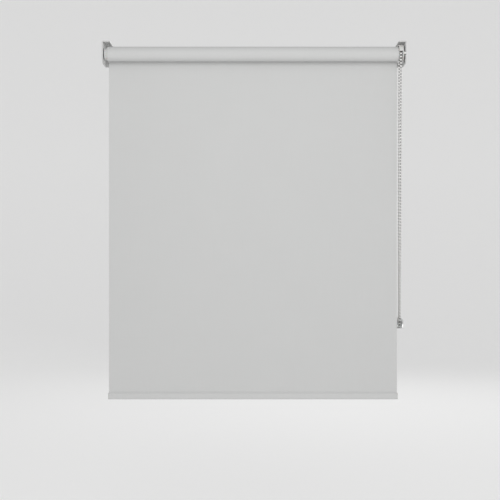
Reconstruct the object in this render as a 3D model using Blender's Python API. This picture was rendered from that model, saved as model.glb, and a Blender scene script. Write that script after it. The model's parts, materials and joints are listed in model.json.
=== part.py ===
"""Roller blind for a window recess, worked by an endless bead chain.

Metres, +Z up, +X towards the chain, +Y towards the window. The origin is midway between the
brackets, at the height of their top faces and in the plane of their back faces.
"""

import math

import bmesh
import bpy
from mathutils import Vector

GAP = 0.0003  # clearance between parts that touch in the real blind

# The whole blind
WIDTH = 0.590  # over the brackets' outer faces
DROP = 0.698  # from the brackets' top faces to the hem's lower edge
AXIS_Y = -0.036
AXIS_Z = -0.0235
IDLE_ALLOWANCE = 0.010  # bracket's outer face to the fabric, idle side
DRIVE_ALLOWANCE = 0.015  # bracket's outer face to the fabric, chain side

# Brackets, bent from sheet steel
SHEET_STEEL = 0.002
BRACKET_DEPTH = 0.050
BRACKET_HEIGHT = 0.043
BRACKET_REACH = 0.015  # width of the top and back flanges, bend included
BRACKET_NOSE_RADIUS = 0.016
FLANGE_CORNER_RADIUS = 0.004
BEND_RADIUS = 0.0012
SCREW_HOLE_RADIUS = 0.0022
SCREW_HEAD_RADIUS = 0.0042
SCREW_SPACING = 0.022
PLATE_SCREW_Y = -0.0105
CUTTER_OVER = 0.001  # how far a cutter runs past the face it cuts

# Tube and fabric
TUBE_RADIUS = 0.0125
TUBE_WALL = 0.001
TUBE_KEY_DEPTH = 0.0012
TUBE_KEY_FACET = 2  # the corner of the bore that the key stands on, in the middle of a flute
FLUTES = 12  # on both plugs that fill the tube
FLUTE_DEPTH = TUBE_KEY_DEPTH + 0.0002
COLLAR_PROUD = 0.0005  # a plug's collar over the tube
SLEEVE_LEAD_IN = 0.0006  # chamfer at a plug's inner end
FABRIC_THICKNESS = 0.00045
ROLL_RADIUS = 0.0141

# Bead chain and its two wheels
BEAD_DIAMETER = 0.0045
BEAD_PITCH = 0.006
BEAD_COUNT = 187
SPROCKET_POCKETS = 14
PULLEY_PITCH_RADIUS = 0.009
SPROCKET_X = 0.2842
PULLEY_X = 0.2888
PULLEY_Y = 0.007
ARC_POINTS = 11  # points of the chain's route round each wheel
RUN_POINTS = 29  # points along each straight run

# Clutch
HUB_RADIUS = 0.005
HUB_BORE_RADIUS = 0.0024
HUB_INNER_X = 0.2400
BOSS_RADIUS = 0.007
LUG_HALF_HEIGHT = 0.0022
LUG_FRONT_Y = -0.0515
LUG_BACK_Y = -0.0300
GUARD_RADIUS = 0.0178
GUARD_WALL = 0.0014
GUARD_MOUTH_ANGLE = math.radians(12)  # hood's lower front edge, above the axis
GUARD_REAR_ANGLE = math.radians(172)
HUB_CHAMFER = 0.0005
CORE_BORE = 0.0073
CORE_END_WALL = 0.0015
SPROCKET_RIM = 0.0011  # above the chain's pitch line
SPROCKET_SCALLOP = 0.0016
BARREL_RADIUS = 0.0069
BARREL_LENGTH = 0.006
SPRING_WIRE_RADIUS = 0.00055
SPRING_LENGTH = 0.0082
SPRING_TURNS = 5
SPRING_TURN_POINTS = 12
SPRING_TANG = 0.0009
OUTER_SPRING_X = 0.2670
INNER_SPRING_X = 0.2530
RETAINER_HEAD_RADIUS = 0.0068
RETAINER_HEAD = 0.0013
RETAINER_STEM = 0.012
RETAINER_HOLLOW = 0.0008

# Idle end
PIN_RADIUS = 0.0025
PIN_TAIL_RADIUS = 0.0016
PIN_COLLAR_RADIUS = 0.0038
PIN_LENGTH_IN = 0.0245  # from the fabric's edge to the end of the tail
PIN_COLLAR_LENGTH = 0.002
PIN_NOSE_BACK = 0.0005  # nose behind the bracket's outer face
PIN_NOSE_CHAMFER = 0.0008
PIN_TAIL_CHAMFER = 0.0005
PIN_HOLLOW = 0.0007
PLUG_FLANGE = 0.0012
PLUG_BOSS_RADIUS = 0.0109
PLUG_BOSS_LENGTH = 0.0048  # from the flange towards the bracket
PLUG_BOSS_CHAMFER = 0.0005
PLUG_LENGTH = 0.033
PLUG_CHAMBER_START = 0.005
CAP_DISC_RADIUS = 0.0085
CAP_DISC = 0.0015
CAP_SPIGOT = 0.002
PIN_SPRING_WIRE_RADIUS = 0.0003
PIN_SPRING_TURNS = 7
PIN_SPRING_TURN_POINTS = 10
RUNNING_CLEARANCE = 0.0001

# Hem
HEM_HEIGHT = 0.013
HEM_DEPTH = 0.0064
HEM_ROUNDNESS = 0.48  # corner radius as a share of the depth
WELD_HEIGHT = 0.0017  # above the oval, where the two layers are welded together
WELD_HALF_WIDTH = 0.00055
WELD_SLOPE = math.radians(34)  # of the pocket's sides below the weld, from upright
WELD_REACH = 0.0014  # below the oval's top, where the sides leave the oval
HEM_CAP_PROUD = 0.0015
HEM_WALL = 2 * FABRIC_THICKNESS
HEM_CAP_STUB = 0.006
HEM_CAP_OVER = 0.0002
HEM_CAP_CHAMFER = 0.0004

# Chain tensioner
TENSIONER_WALL = 0.0014
TENSIONER_TOP = 0.005  # top edge above the pulley's axis
CHAIN_ROOM = 0.0008  # between the chain and the trough round it
SLEEVE_RADIUS = 0.0024
SLEEVE_BORE_RADIUS = 0.0018
COVER_CHAMFER = 0.0005
PULLEY_RIM = 0.0021  # above the pulley's groove

# Worked out from the sizes above
BRACKET_OUTER_X = WIDTH / 2
BRACKET_INNER_X = BRACKET_OUTER_X - SHEET_STEEL
FABRIC_LEFT = -WIDTH / 2 + IDLE_ALLOWANCE
FABRIC_RIGHT = WIDTH / 2 - DRIVE_ALLOWANCE
TUBE_BORE = TUBE_RADIUS - TUBE_WALL
BEAD_RADIUS = BEAD_DIAMETER / 2
SPROCKET_PITCH_RADIUS = SPROCKET_POCKETS * BEAD_PITCH / math.tau
CHAIN_LENGTH = BEAD_COUNT * BEAD_PITCH
SHEET_FRONT_Y = AXIS_Y + ROLL_RADIUS + GAP
SHEET_BACK_Y = SHEET_FRONT_Y + FABRIC_THICKNESS
HEM_Y = (SHEET_FRONT_Y + SHEET_BACK_Y) / 2
HEM_Z = -DROP + HEM_HEIGHT / 2
WELD_TOP = HEM_HEIGHT / 2 + WELD_HEIGHT
GROOVE_HALF_WIDTH = BEAD_RADIUS + GAP
SPROCKET_CHEEK = 0.0006
SPROCKET_LEFT = SPROCKET_X - GROOVE_HALF_WIDTH - SPROCKET_CHEEK
SPROCKET_RIGHT = SPROCKET_X + GROOVE_HALF_WIDTH + SPROCKET_CHEEK
GUARD_LEFT = SPROCKET_RIGHT + GAP
GUARD_RIGHT = GUARD_LEFT + GUARD_WALL
TROUGH_RADIUS = PULLEY_PITCH_RADIUS + BEAD_RADIUS + CHAIN_ROOM

FINE = 48  # facets round a large turned part
MEDIUM = 36
COARSE = 24  # facets round a small one
MERGE_DISTANCE = 1e-7
SHARP_ANGLE = math.radians(30)
MARKER_SIZE = 0.02  # of the empties at the centres
DROP_RANGE = (0.3, 0.9)  # where the pulley's place is looked for
DROP_HALVINGS = 60


# ---------------------------------------------------------------- shapes


def clear_scene():
    for old in list(bpy.data.objects):
        bpy.data.objects.remove(old, do_unlink=True)


def material(name, colour, roughness, metallic=0.0):
    made = bpy.data.materials.new(name)
    made.use_nodes = True
    shader = made.node_tree.nodes["Principled BSDF"]
    shader.inputs["Base Color"].default_value = (*colour, 1.0)
    shader.inputs["Roughness"].default_value = roughness
    shader.inputs["Metallic"].default_value = metallic
    made.diffuse_color = (*colour, 1.0)
    return made


def empty(name, location):
    made = bpy.data.objects.new(name, None)
    made.location = location
    made.empty_display_size = MARKER_SIZE
    bpy.context.collection.objects.link(made)
    return made


def loft(name, finish, rings, closed=False, parent=None, location=(0, 0, 0)):
    """A solid skinned over rings of equal point counts: capped at its ends, or closed on itself."""
    shape = bmesh.new()
    loops = [[shape.verts.new(point) for point in ring] for ring in rings]
    pairs = list(zip(loops, loops[1:]))
    if closed:
        pairs.append((loops[-1], loops[0]))
    else:
        shape.faces.new(loops[0])
        shape.faces.new(loops[-1])
    for near, far in pairs:
        count = len(near)
        for i in range(count):
            j = (i + 1) % count
            shape.faces.new((near[i], near[j], far[j], far[i]))
    bmesh.ops.remove_doubles(shape, verts=shape.verts, dist=MERGE_DISTANCE)
    bmesh.ops.recalc_face_normals(shape, faces=shape.faces)
    mesh = bpy.data.meshes.new(name)
    shape.to_mesh(mesh)
    shape.free()
    mesh.shade_smooth()
    mesh.set_sharp_from_angle(angle=SHARP_ANGLE)
    mesh.materials.append(finish)
    made = bpy.data.objects.new(name, mesh)
    made.location = location
    made.parent = parent
    bpy.context.collection.objects.link(made)
    return made


def turned(name, finish, profile, facets=FINE, lobes=0, phase=0.0, parent=None, location=(0, 0, 0)):
    """A ring turned about the X axis from a closed profile of (x, radius) or (x, radius, notch).

    A notch is how far the radius dips at each of the evenly spaced lobes; the first dip lies
    half a lobe in front of the phase, an angle from the top towards the room.
    """
    rings = []
    for x, radius, *notch in profile:
        ring = []
        for i in range(facets):
            angle = math.tau * i / facets
            dip = 0.0
            if notch:
                dip = notch[0] * (0.5 - 0.5 * math.cos(lobes * angle)) ** 2
            reach = radius - dip
            ring.append((x, -reach * math.sin(angle + phase), reach * math.cos(angle + phase)))
        rings.append(ring)
    return loft(name, finish, rings, closed=True, parent=parent, location=location)


def prism(name, finish, outline, axis, low, high, parent=None):
    """An outline drawn in the plane across an axis, extruded from low to high along it."""

    def place(point, along):
        coords = list(point)
        coords.insert("XYZ".index(axis), along)
        return coords

    rings = [[place(point, along) for point in outline] for along in (low, high)]
    return loft(name, finish, rings, parent=parent)


def arc(centre, radius, start, end, steps):
    """Points of an arc, both ends included, angles in radians from the first axis of the plane."""
    angles = [start + (end - start) * i / steps for i in range(steps + 1)]
    return [(centre[0] + radius * math.cos(a), centre[1] + radius * math.sin(a)) for a in angles]


def circle(centre, radius, facets):
    return arc(centre, radius, 0, math.tau * (1 - 1 / facets), facets - 1)


def rounded_rectangle(centre, width, height, radius, steps=4):
    points = []
    for quarter, (sx, sy) in enumerate(((1, 1), (-1, 1), (-1, -1), (1, -1))):
        corner = (centre[0] + sx * (width / 2 - radius), centre[1] + sy * (height / 2 - radius))
        start = quarter * math.pi / 2
        points += arc(corner, radius, start, start + math.pi / 2, steps)
    return points


def wire(name, finish, points, radius, bevel_resolution=2, parent=None):
    """A closed-ended tube of round wire or cord along a line of points."""
    curve = bpy.data.curves.new(name, "CURVE")
    curve.dimensions = "3D"
    curve.bevel_depth = radius
    curve.bevel_resolution = bevel_resolution
    curve.use_fill_caps = True
    spline = curve.splines.new("POLY")
    spline.points.add(len(points) - 1)
    for knot, point in zip(spline.points, points):
        knot.co = (*point, 1.0)
    curve.materials.append(finish)
    made = bpy.data.objects.new(name, curve)
    made.parent = parent
    bpy.context.collection.objects.link(made)
    return made


def combine(target, tool, operation):
    """Cuts the tool from the target, or joins it on. The tool stays as a hidden guide."""
    tool.name = f"{target.name}_{operation.lower()}_{len(target.modifiers)}"
    tool.parent = target.parent
    tool.hide_render = True
    tool.display_type = "WIRE"
    step = target.modifiers.new(tool.name, "BOOLEAN")
    step.operation = operation
    step.solver = "EXACT"
    step.object = tool


def helix(centre_x, length, radius, turns, points_per_turn):
    """Points along a helix about the X axis."""
    count = round(turns * points_per_turn)
    route = []
    for i in range(count + 1):
        angle = math.tau * i / points_per_turn
        x = centre_x - length / 2 + length * i / count
        route.append((x, radius * math.cos(angle), radius * math.sin(angle)))
    return route


# ---------------------------------------------------------------- brackets


def screw_hole(name, finish, position, axis, surface, into):
    """A cutter for a countersunk hole that starts at the sheet's inner surface and runs outwards."""
    depth = SHEET_STEEL + 2 * GAP
    levels = (
        (-GAP, SCREW_HEAD_RADIUS + GAP),
        (SHEET_STEEL, SCREW_HOLE_RADIUS),
        (depth, SCREW_HOLE_RADIUS),
    )
    rings = []
    for level, radius in levels:
        ring = []
        for point in circle(position, radius, COARSE):
            coords = list(point)
            coords.insert("XYZ".index(axis), surface + into * level)
            ring.append(coords)
        rings.append(ring)
    return loft(name, finish, rings)


def corner_cutter(name, finish, corner, inward, axis, low, high):
    """Rounds one corner of a flange: corner in the plane across the axis, inward its two signs."""
    radius = FLANGE_CORNER_RADIUS
    over = CUTTER_OVER
    (cx, cy), (sx, sy) = corner, inward
    swing = [
        (cx + sx * radius * (1 - math.sin(a)), cy + sy * radius * (1 - math.cos(a)))
        for a in (math.pi / 2 * i / 6 for i in range(7))
    ]
    outline = [(cx - sx * over, cy - sy * over), (cx + sx * radius, cy - sy * over), *swing]
    outline.append((cx - sx * over, cy + sy * radius))
    return prism(name, finish, outline, axis, low, high)


def bracket(name, side, finish):
    """A bent bracket: side plate on the recess wall, with a top flange and a back flange."""
    outer = side * BRACKET_OUTER_X
    inner = side * BRACKET_INNER_X
    tip = side * (BRACKET_OUTER_X - BRACKET_REACH)
    over = 2 * CUTTER_OVER
    nose_centre = (-BRACKET_DEPTH + BRACKET_NOSE_RADIUS, -BRACKET_HEIGHT + BRACKET_NOSE_RADIUS)
    nose = arc(nose_centre, BRACKET_NOSE_RADIUS, math.pi, 1.5 * math.pi, 10)
    outline = [(0, 0), (-BRACKET_DEPTH, 0), *nose, (0, -BRACKET_HEIGHT)]
    made = prism(name, finish, outline, "X", tip, outer)

    # The room inside the bend, with the bend's inner radius along each of its edges
    middle = (inner + tip - side * over) / 2
    width = abs(inner - tip) + over
    depth_span = rounded_rectangle(
        (middle, -(SHEET_STEEL + BRACKET_DEPTH + over) / 2),
        width,
        BRACKET_DEPTH + over - SHEET_STEEL,
        BEND_RADIUS,
    )
    hollow = prism("room", finish, depth_span, "Z", -BRACKET_HEIGHT - over, -SHEET_STEEL)
    combine(made, hollow, "DIFFERENCE")

    flange_corner = corner_cutter(
        "corner", finish, (tip, -BRACKET_DEPTH), (side, 1), "Z", -SHEET_STEEL - over, over
    )
    combine(made, flange_corner, "DIFFERENCE")
    rear_corner = corner_cutter(
        "corner", finish, (tip, -BRACKET_HEIGHT), (side, 1), "Y", -SHEET_STEEL - over, over
    )
    combine(made, rear_corner, "DIFFERENCE")

    # Two countersunk holes in each flange and in the side plate
    flange_middle = side * (BRACKET_OUTER_X - BRACKET_REACH / 2 - SHEET_STEEL / 2)
    for end in (-1, 1):
        across = -BRACKET_DEPTH / 2 + end * SCREW_SPACING / 2
        down = -BRACKET_HEIGHT / 2 + end * SCREW_SPACING / 2
        top = screw_hole("hole", finish, (flange_middle, across), "Z", -SHEET_STEEL, 1)
        combine(made, top, "DIFFERENCE")
        back = screw_hole("hole", finish, (flange_middle, down), "Y", -SHEET_STEEL, 1)
        combine(made, back, "DIFFERENCE")
        plate_z = AXIS_Z + end * SCREW_SPACING / 2
        plate = screw_hole("hole", finish, (PLATE_SCREW_Y, plate_z), "X", inner, side)
        combine(made, plate, "DIFFERENCE")
    return made


def bracket_drive(finish):
    """The chain-side bracket, with the slot that the clutch's lug slides into from the front."""
    made = bracket("bracket_drive", 1, finish)
    half = LUG_HALF_HEIGHT + GAP
    end = LUG_BACK_Y + GAP
    front = -BRACKET_DEPTH - CUTTER_OVER
    left = BRACKET_INNER_X - CUTTER_OVER
    round_end = arc((end, AXIS_Z), half, -math.pi / 2, math.pi / 2, 8)
    outline = [(front, AXIS_Z - half), *round_end, (front, AXIS_Z + half)]
    slot = prism("slot", finish, outline, "X", left, BRACKET_OUTER_X + CUTTER_OVER)
    combine(made, slot, "DIFFERENCE")
    return made


def bracket_idle(finish):
    """The bracket at the other end, with the hole that the sprung pin snaps into."""
    made = bracket("bracket_idle", -1, finish)
    hole_radius = PIN_RADIUS + RUNNING_CLEARANCE
    outline = circle((AXIS_Y, AXIS_Z), hole_radius, COARSE)
    left = -BRACKET_OUTER_X - CUTTER_OVER
    hole = prism("hole", finish, outline, "X", left, -BRACKET_INNER_X + CUTTER_OVER)
    combine(made, hole, "DIFFERENCE")
    return made


# ---------------------------------------------------------------- roller


def roller_tube(finish, axis):
    """The aluminium tube, with one shallow key down its bore."""
    facets = FINE
    outer, bore = [], []
    for i in range(facets):
        angle = math.tau * i / facets
        radius = TUBE_BORE - (TUBE_KEY_DEPTH if i == TUBE_KEY_FACET else 0.0)
        outer.append((TUBE_RADIUS * math.cos(angle), TUBE_RADIUS * math.sin(angle)))
        bore.append((radius * math.cos(angle), radius * math.sin(angle)))
    rings = [[(x, *point) for point in outer] for x in (FABRIC_LEFT, FABRIC_RIGHT)]
    rings += [[(x, *point) for point in bore] for x in (FABRIC_RIGHT, FABRIC_LEFT)]
    return loft("roller_tube", finish, rings, closed=True, parent=axis)


def fabric_roll(finish, axis):
    inner = TUBE_RADIUS + GAP
    profile = [
        (FABRIC_LEFT, inner),
        (FABRIC_LEFT, ROLL_RADIUS),
        (FABRIC_RIGHT, ROLL_RADIUS),
        (FABRIC_RIGHT, inner),
    ]
    return turned("fabric_roll", finish, profile, parent=axis)


def drive_core(finish, axis):
    """The fluted sleeve inside the tube, with the collar that the tube's end butts against."""
    inner_x = HUB_INNER_X + CORE_END_WALL + CUTTER_OVER
    sleeve = TUBE_BORE - GAP
    lip = HUB_RADIUS + GAP
    collar = TUBE_RADIUS + COLLAR_PROUD
    collar_left = FABRIC_RIGHT + GAP
    collar_right = SPROCKET_LEFT - GAP
    profile = [
        (inner_x, lip, 0.0),
        (inner_x, sleeve - SLEEVE_LEAD_IN, FLUTE_DEPTH),
        (inner_x + SLEEVE_LEAD_IN, sleeve, FLUTE_DEPTH),
        (collar_left, sleeve, FLUTE_DEPTH),
        (collar_left, collar, 0.0),
        (collar_right, collar, 0.0),
        (collar_right, CORE_BORE, 0.0),
        (inner_x + CORE_END_WALL, CORE_BORE, 0.0),
        (inner_x + CORE_END_WALL, lip, 0.0),
    ]
    return turned("drive_core", finish, profile, facets=4 * FLUTES, lobes=FLUTES, parent=axis)


def chain_sprocket(finish, axis):
    """The chain wheel: a groove between two cheeks that are scalloped at each bead."""
    groove = SPROCKET_PITCH_RADIUS - BEAD_RADIUS - 2 * GAP
    rim = SPROCKET_PITCH_RADIUS + SPROCKET_RIM
    scallop = SPROCKET_SCALLOP
    bore = HUB_RADIUS + GAP
    barrel_left = FABRIC_RIGHT - BARREL_LENGTH
    cheek_left = SPROCKET_LEFT + SPROCKET_CHEEK
    cheek_right = SPROCKET_RIGHT - SPROCKET_CHEEK
    profile = [
        (barrel_left, bore, 0.0),
        (barrel_left, BARREL_RADIUS, 0.0),
        (SPROCKET_LEFT, BARREL_RADIUS, 0.0),
        (SPROCKET_LEFT, rim, scallop),
        (cheek_left, rim, scallop),
        (cheek_left, groove, 0.0),
        (cheek_right, groove, 0.0),
        (cheek_right, rim, scallop),
        (SPROCKET_RIGHT, rim, scallop),
        (SPROCKET_RIGHT, bore, 0.0),
    ]
    return turned(
        "chain_sprocket",
        finish,
        profile,
        facets=4 * SPROCKET_POCKETS,
        lobes=SPROCKET_POCKETS,
        phase=loop_top() - math.pi / 2,
        parent=axis,
    )


def wrap_spring(name, centre_x, finish, axis):
    """A spring wound tight round the hub, with both ends turned outwards as tangs."""
    radius = HUB_RADIUS + GAP + SPRING_WIRE_RADIUS
    coil = helix(centre_x, SPRING_LENGTH, radius, SPRING_TURNS, SPRING_TURN_POINTS)

    def outwards(point):
        spoke = Vector((0, point[1], point[2])).normalized()
        return tuple(Vector(point) + SPRING_TANG * spoke)

    points = [outwards(coil[0]), *coil, outwards(coil[-1])]
    return wire(name, finish, points, SPRING_WIRE_RADIUS, bevel_resolution=1, parent=axis)


def idle_plug(finish, axis):
    """The plug in the tube's free end: a boss and flange, a sleeve and the pin's spring chamber."""
    flange_right = FABRIC_LEFT - GAP
    flange_left = flange_right - PLUG_FLANGE
    boss_left = flange_left - PLUG_BOSS_LENGTH
    flange = TUBE_RADIUS + 2 * COLLAR_PROUD
    boss = PLUG_BOSS_RADIUS
    bore = PIN_RADIUS + RUNNING_CLEARANCE
    sleeve = TUBE_BORE - GAP
    chamber = PIN_COLLAR_RADIUS + GAP
    chamber_left = FABRIC_LEFT + PLUG_CHAMBER_START
    inner_x = FABRIC_LEFT + PLUG_LENGTH
    profile = [
        (boss_left, bore, 0.0),
        (boss_left, boss - PLUG_BOSS_CHAMFER, 0.0),
        (boss_left + PLUG_BOSS_CHAMFER, boss, 0.0),
        (flange_left, boss, 0.0),
        (flange_left, flange - COLLAR_PROUD, 0.0),
        (flange_left + COLLAR_PROUD, flange, 0.0),
        (flange_right, flange, 0.0),
        (flange_right, sleeve, FLUTE_DEPTH),
        (inner_x - SLEEVE_LEAD_IN, sleeve, FLUTE_DEPTH),
        (inner_x, sleeve - SLEEVE_LEAD_IN, FLUTE_DEPTH),
        (inner_x, chamber, 0.0),
        (chamber_left, chamber, 0.0),
        (chamber_left, bore, 0.0),
    ]
    return turned("idle_plug", finish, profile, facets=4 * FLUTES, lobes=FLUTES, parent=axis)


def idle_plug_cap(finish, axis):
    """The disc that closes the spring's chamber, with a hole for the pin's tail."""
    left = FABRIC_LEFT + PLUG_LENGTH + GAP
    right = left + CAP_DISC
    spigot = left - CAP_SPIGOT
    hole = PIN_TAIL_RADIUS + GAP
    profile = [
        (spigot, hole),
        (spigot, PIN_COLLAR_RADIUS),
        (left, PIN_COLLAR_RADIUS),
        (left, CAP_DISC_RADIUS),
        (right, CAP_DISC_RADIUS),
        (right, hole),
    ]
    return turned("idle_plug_cap", finish, profile, facets=COARSE, parent=axis)


def idle_pin(finish, axis):
    """The sprung pin: a rounded nose, a collar inside the plug and a tail through the spring."""
    nose = -BRACKET_OUTER_X + PIN_NOSE_BACK
    collar_left = FABRIC_LEFT + PLUG_CHAMBER_START + GAP
    collar_right = collar_left + PIN_COLLAR_LENGTH
    tail = FABRIC_LEFT + PIN_LENGTH_IN
    profile = [
        (nose, PIN_HOLLOW),
        (nose, PIN_RADIUS - PIN_NOSE_CHAMFER),
        (nose + PIN_NOSE_CHAMFER, PIN_RADIUS),
        (collar_left, PIN_RADIUS),
        (collar_left, PIN_COLLAR_RADIUS),
        (collar_right, PIN_COLLAR_RADIUS),
        (collar_right, PIN_TAIL_RADIUS),
        (tail - PIN_TAIL_CHAMFER, PIN_TAIL_RADIUS),
        (tail, PIN_TAIL_RADIUS - PIN_TAIL_CHAMFER),
        (tail, PIN_HOLLOW),
    ]
    return turned("idle_pin", finish, profile, facets=COARSE, parent=axis)


def idle_pin_spring(finish, axis):
    """The coil between the pin's collar and the chamber's cap."""
    radius = PIN_SPRING_WIRE_RADIUS
    collar_right = FABRIC_LEFT + PLUG_CHAMBER_START + GAP + PIN_COLLAR_LENGTH
    start = collar_right + GAP + radius
    end = FABRIC_LEFT + PLUG_LENGTH + GAP - CAP_SPIGOT - GAP - radius
    coil_radius = PIN_TAIL_RADIUS + 2 * GAP + radius
    coil = helix((start + end) / 2, end - start, coil_radius, PIN_SPRING_TURNS, PIN_SPRING_TURN_POINTS)
    return wire("idle_pin_spring", finish, coil, radius, bevel_resolution=1, parent=axis)


# ---------------------------------------------------------------- clutch, fixed part


def clutch_hub(finish, axis):
    """The fixed shaft that the roller turns on, its boss, and the lug that the bracket holds."""
    boss_right = BRACKET_INNER_X - GAP
    boss_left = GUARD_RIGHT + GAP
    profile = [
        (HUB_INNER_X, HUB_BORE_RADIUS),
        (HUB_INNER_X, HUB_RADIUS - HUB_CHAMFER),
        (HUB_INNER_X + HUB_CHAMFER, HUB_RADIUS),
        (boss_left, HUB_RADIUS),
        (boss_left, BOSS_RADIUS),
        (boss_right, BOSS_RADIUS),
        (boss_right, HUB_BORE_RADIUS),
    ]
    made = turned("clutch_hub", finish, profile, parent=axis)
    outline = rounded_rectangle(
        ((LUG_FRONT_Y + LUG_BACK_Y) / 2 - AXIS_Y, 0),
        LUG_BACK_Y - LUG_FRONT_Y,
        2 * LUG_HALF_HEIGHT,
        HUB_CHAMFER,
        steps=2,
    )
    lug_left = boss_left + GAP / 2
    lug = prism("lug", finish, outline, "X", lug_left, BRACKET_OUTER_X - GAP, parent=axis)
    combine(made, lug, "UNION")
    return made


def hub_retainer(finish, axis):
    """A headed plug pushed into the hub's bore, which keeps the turning parts on the shaft."""
    head_right = HUB_INNER_X - GAP
    head_left = head_right - RETAINER_HEAD
    stem = HUB_BORE_RADIUS - GAP
    profile = [
        (head_left, RETAINER_HOLLOW),
        (head_left, RETAINER_HEAD_RADIUS - HUB_CHAMFER),
        (head_left + HUB_CHAMFER, RETAINER_HEAD_RADIUS),
        (head_right, RETAINER_HEAD_RADIUS),
        (head_right, stem),
        (head_right + RETAINER_STEM, stem),
        (head_right + RETAINER_STEM, RETAINER_HOLLOW),
    ]
    return turned("hub_retainer", finish, profile, facets=COARSE, parent=axis)


def chain_guard(finish, axis):
    """A plate beside the chain wheel with a hood over it, open at the front and below."""
    hole = HUB_RADIUS + GAP
    profile = [
        (GUARD_LEFT, hole),
        (GUARD_LEFT, GUARD_RADIUS),
        (GUARD_RIGHT - HUB_CHAMFER, GUARD_RADIUS),
        (GUARD_RIGHT, GUARD_RADIUS - HUB_CHAMFER),
        (GUARD_RIGHT, hole),
    ]
    made = turned("chain_guard", finish, profile, parent=axis)
    inner = SPROCKET_PITCH_RADIUS + BEAD_RADIUS + 2 * GAP
    outer = GUARD_RADIUS - GAP
    start = math.pi - GUARD_MOUTH_ANGLE
    end = math.pi - GUARD_REAR_ANGLE
    outline = arc((0, 0), outer, start, end, 16) + arc((0, 0), inner, end, start, 16)
    hood_left = FABRIC_RIGHT + 2 * GAP
    hood_right = (GUARD_LEFT + GUARD_RIGHT) / 2
    hood = prism("hood", finish, outline, "X", hood_left, hood_right, parent=axis)
    combine(made, hood, "UNION")
    return made


# ---------------------------------------------------------------- fabric and hem


def fabric_sheet(finish):
    """The fabric between the back of the roll and the hem."""
    outline = [
        (SHEET_FRONT_Y, AXIS_Z),
        (SHEET_BACK_Y, AXIS_Z),
        (SHEET_BACK_Y, HEM_Z + WELD_TOP + GAP),
        (SHEET_FRONT_Y, HEM_Z + WELD_TOP + GAP),
    ]
    return prism("fabric_sheet", finish, outline, "X", FABRIC_LEFT, FABRIC_RIGHT)


def hem_outline(shrink):
    """The hem's flattened oval section, made smaller all round by the given amount."""
    width = HEM_DEPTH - 2 * shrink
    return rounded_rectangle((0, 0), width, HEM_HEIGHT - 2 * shrink, width * HEM_ROUNDNESS)


def pocket_outline():
    """The pocket's outer section: the oval, with its sides drawn up to the weld."""
    points = []
    for y, z in hem_outline(0):
        if z > HEM_HEIGHT / 2 - WELD_REACH:
            reach = max(abs(y), WELD_HALF_WIDTH)
            drawn = WELD_TOP - (reach - WELD_HALF_WIDTH) / math.tan(WELD_SLOPE)
            y, z = math.copysign(reach, y), max(z, drawn)
        points.append((y, z))
    return points


def hem_ring(shrink, x):
    return [(x, *point) for point in hem_outline(shrink)]


def hem_pocket(finish, origin):
    """The pocket of doubled fabric that the bar slides into."""
    outline = pocket_outline()
    rings = [
        [(FABRIC_LEFT, *point) for point in outline],
        [(FABRIC_RIGHT, *point) for point in outline],
        hem_ring(HEM_WALL, FABRIC_RIGHT),
        hem_ring(HEM_WALL, FABRIC_LEFT),
    ]
    return loft("hem_pocket", finish, rings, closed=True, parent=origin)


def hem_bar(finish, origin):
    """The flat bar that keeps the fabric straight, between the stubs of the end caps."""
    shrink = HEM_WALL + GAP
    left = FABRIC_LEFT + HEM_CAP_STUB
    rings = [hem_ring(shrink, left), hem_ring(shrink, FABRIC_RIGHT - HEM_CAP_STUB)]
    return loft("hem_bar", finish, rings, parent=origin)


def hem_cap(name, side, finish, origin):
    """An end cap: a stub inside the pocket and a flange with a softened edge outside it."""
    edge = FABRIC_RIGHT if side > 0 else FABRIC_LEFT
    shrink = HEM_WALL + GAP
    face = edge + side * HEM_CAP_PROUD
    rings = [
        hem_ring(shrink, edge - side * (HEM_CAP_STUB - GAP)),
        hem_ring(shrink, edge + side * GAP),
        hem_ring(-HEM_CAP_OVER, edge + side * GAP),
        hem_ring(-HEM_CAP_OVER, face - side * HEM_CAP_CHAMFER),
        hem_ring(HEM_CAP_CHAMFER - HEM_CAP_OVER, face),
    ]
    return loft(name, finish, rings, parent=origin)


# ---------------------------------------------------------------- chain and tensioner


def tangent_angle(distance_y, drop):
    """The angle by which the chain's runs lean from the line between the wheels' centres."""
    apart = math.hypot(distance_y, drop)
    return math.asin((SPROCKET_PITCH_RADIUS - PULLEY_PITCH_RADIUS) / apart)


def loop_length(drop):
    """Length of the chain when the pulley's axis is this far below the roller's."""
    distance_y = PULLEY_Y - AXIS_Y
    lean = tangent_angle(distance_y, drop)
    run = math.hypot(distance_y, drop) * math.cos(lean)
    run = math.hypot(run, PULLEY_X - SPROCKET_X)
    over = SPROCKET_PITCH_RADIUS * (math.pi + 2 * lean)
    under = PULLEY_PITCH_RADIUS * (math.pi - 2 * lean)
    return 2 * run + over + under


def pulley_drop():
    """How far below the roller's axis the pulley sits when the whole chain is taut."""
    low, high = DROP_RANGE
    for _ in range(DROP_HALVINGS):
        middle = (low + high) / 2
        if loop_length(middle) < CHAIN_LENGTH:
            low = middle
        else:
            high = middle
    return (low + high) / 2


PULLEY_Z = AXIS_Z - pulley_drop()


def loop_top():
    """The angle of the loop's highest point on the chain wheel, opposite the pulley."""
    return math.atan2(PULLEY_Z - AXIS_Z, PULLEY_Y - AXIS_Y) + math.pi


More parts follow.
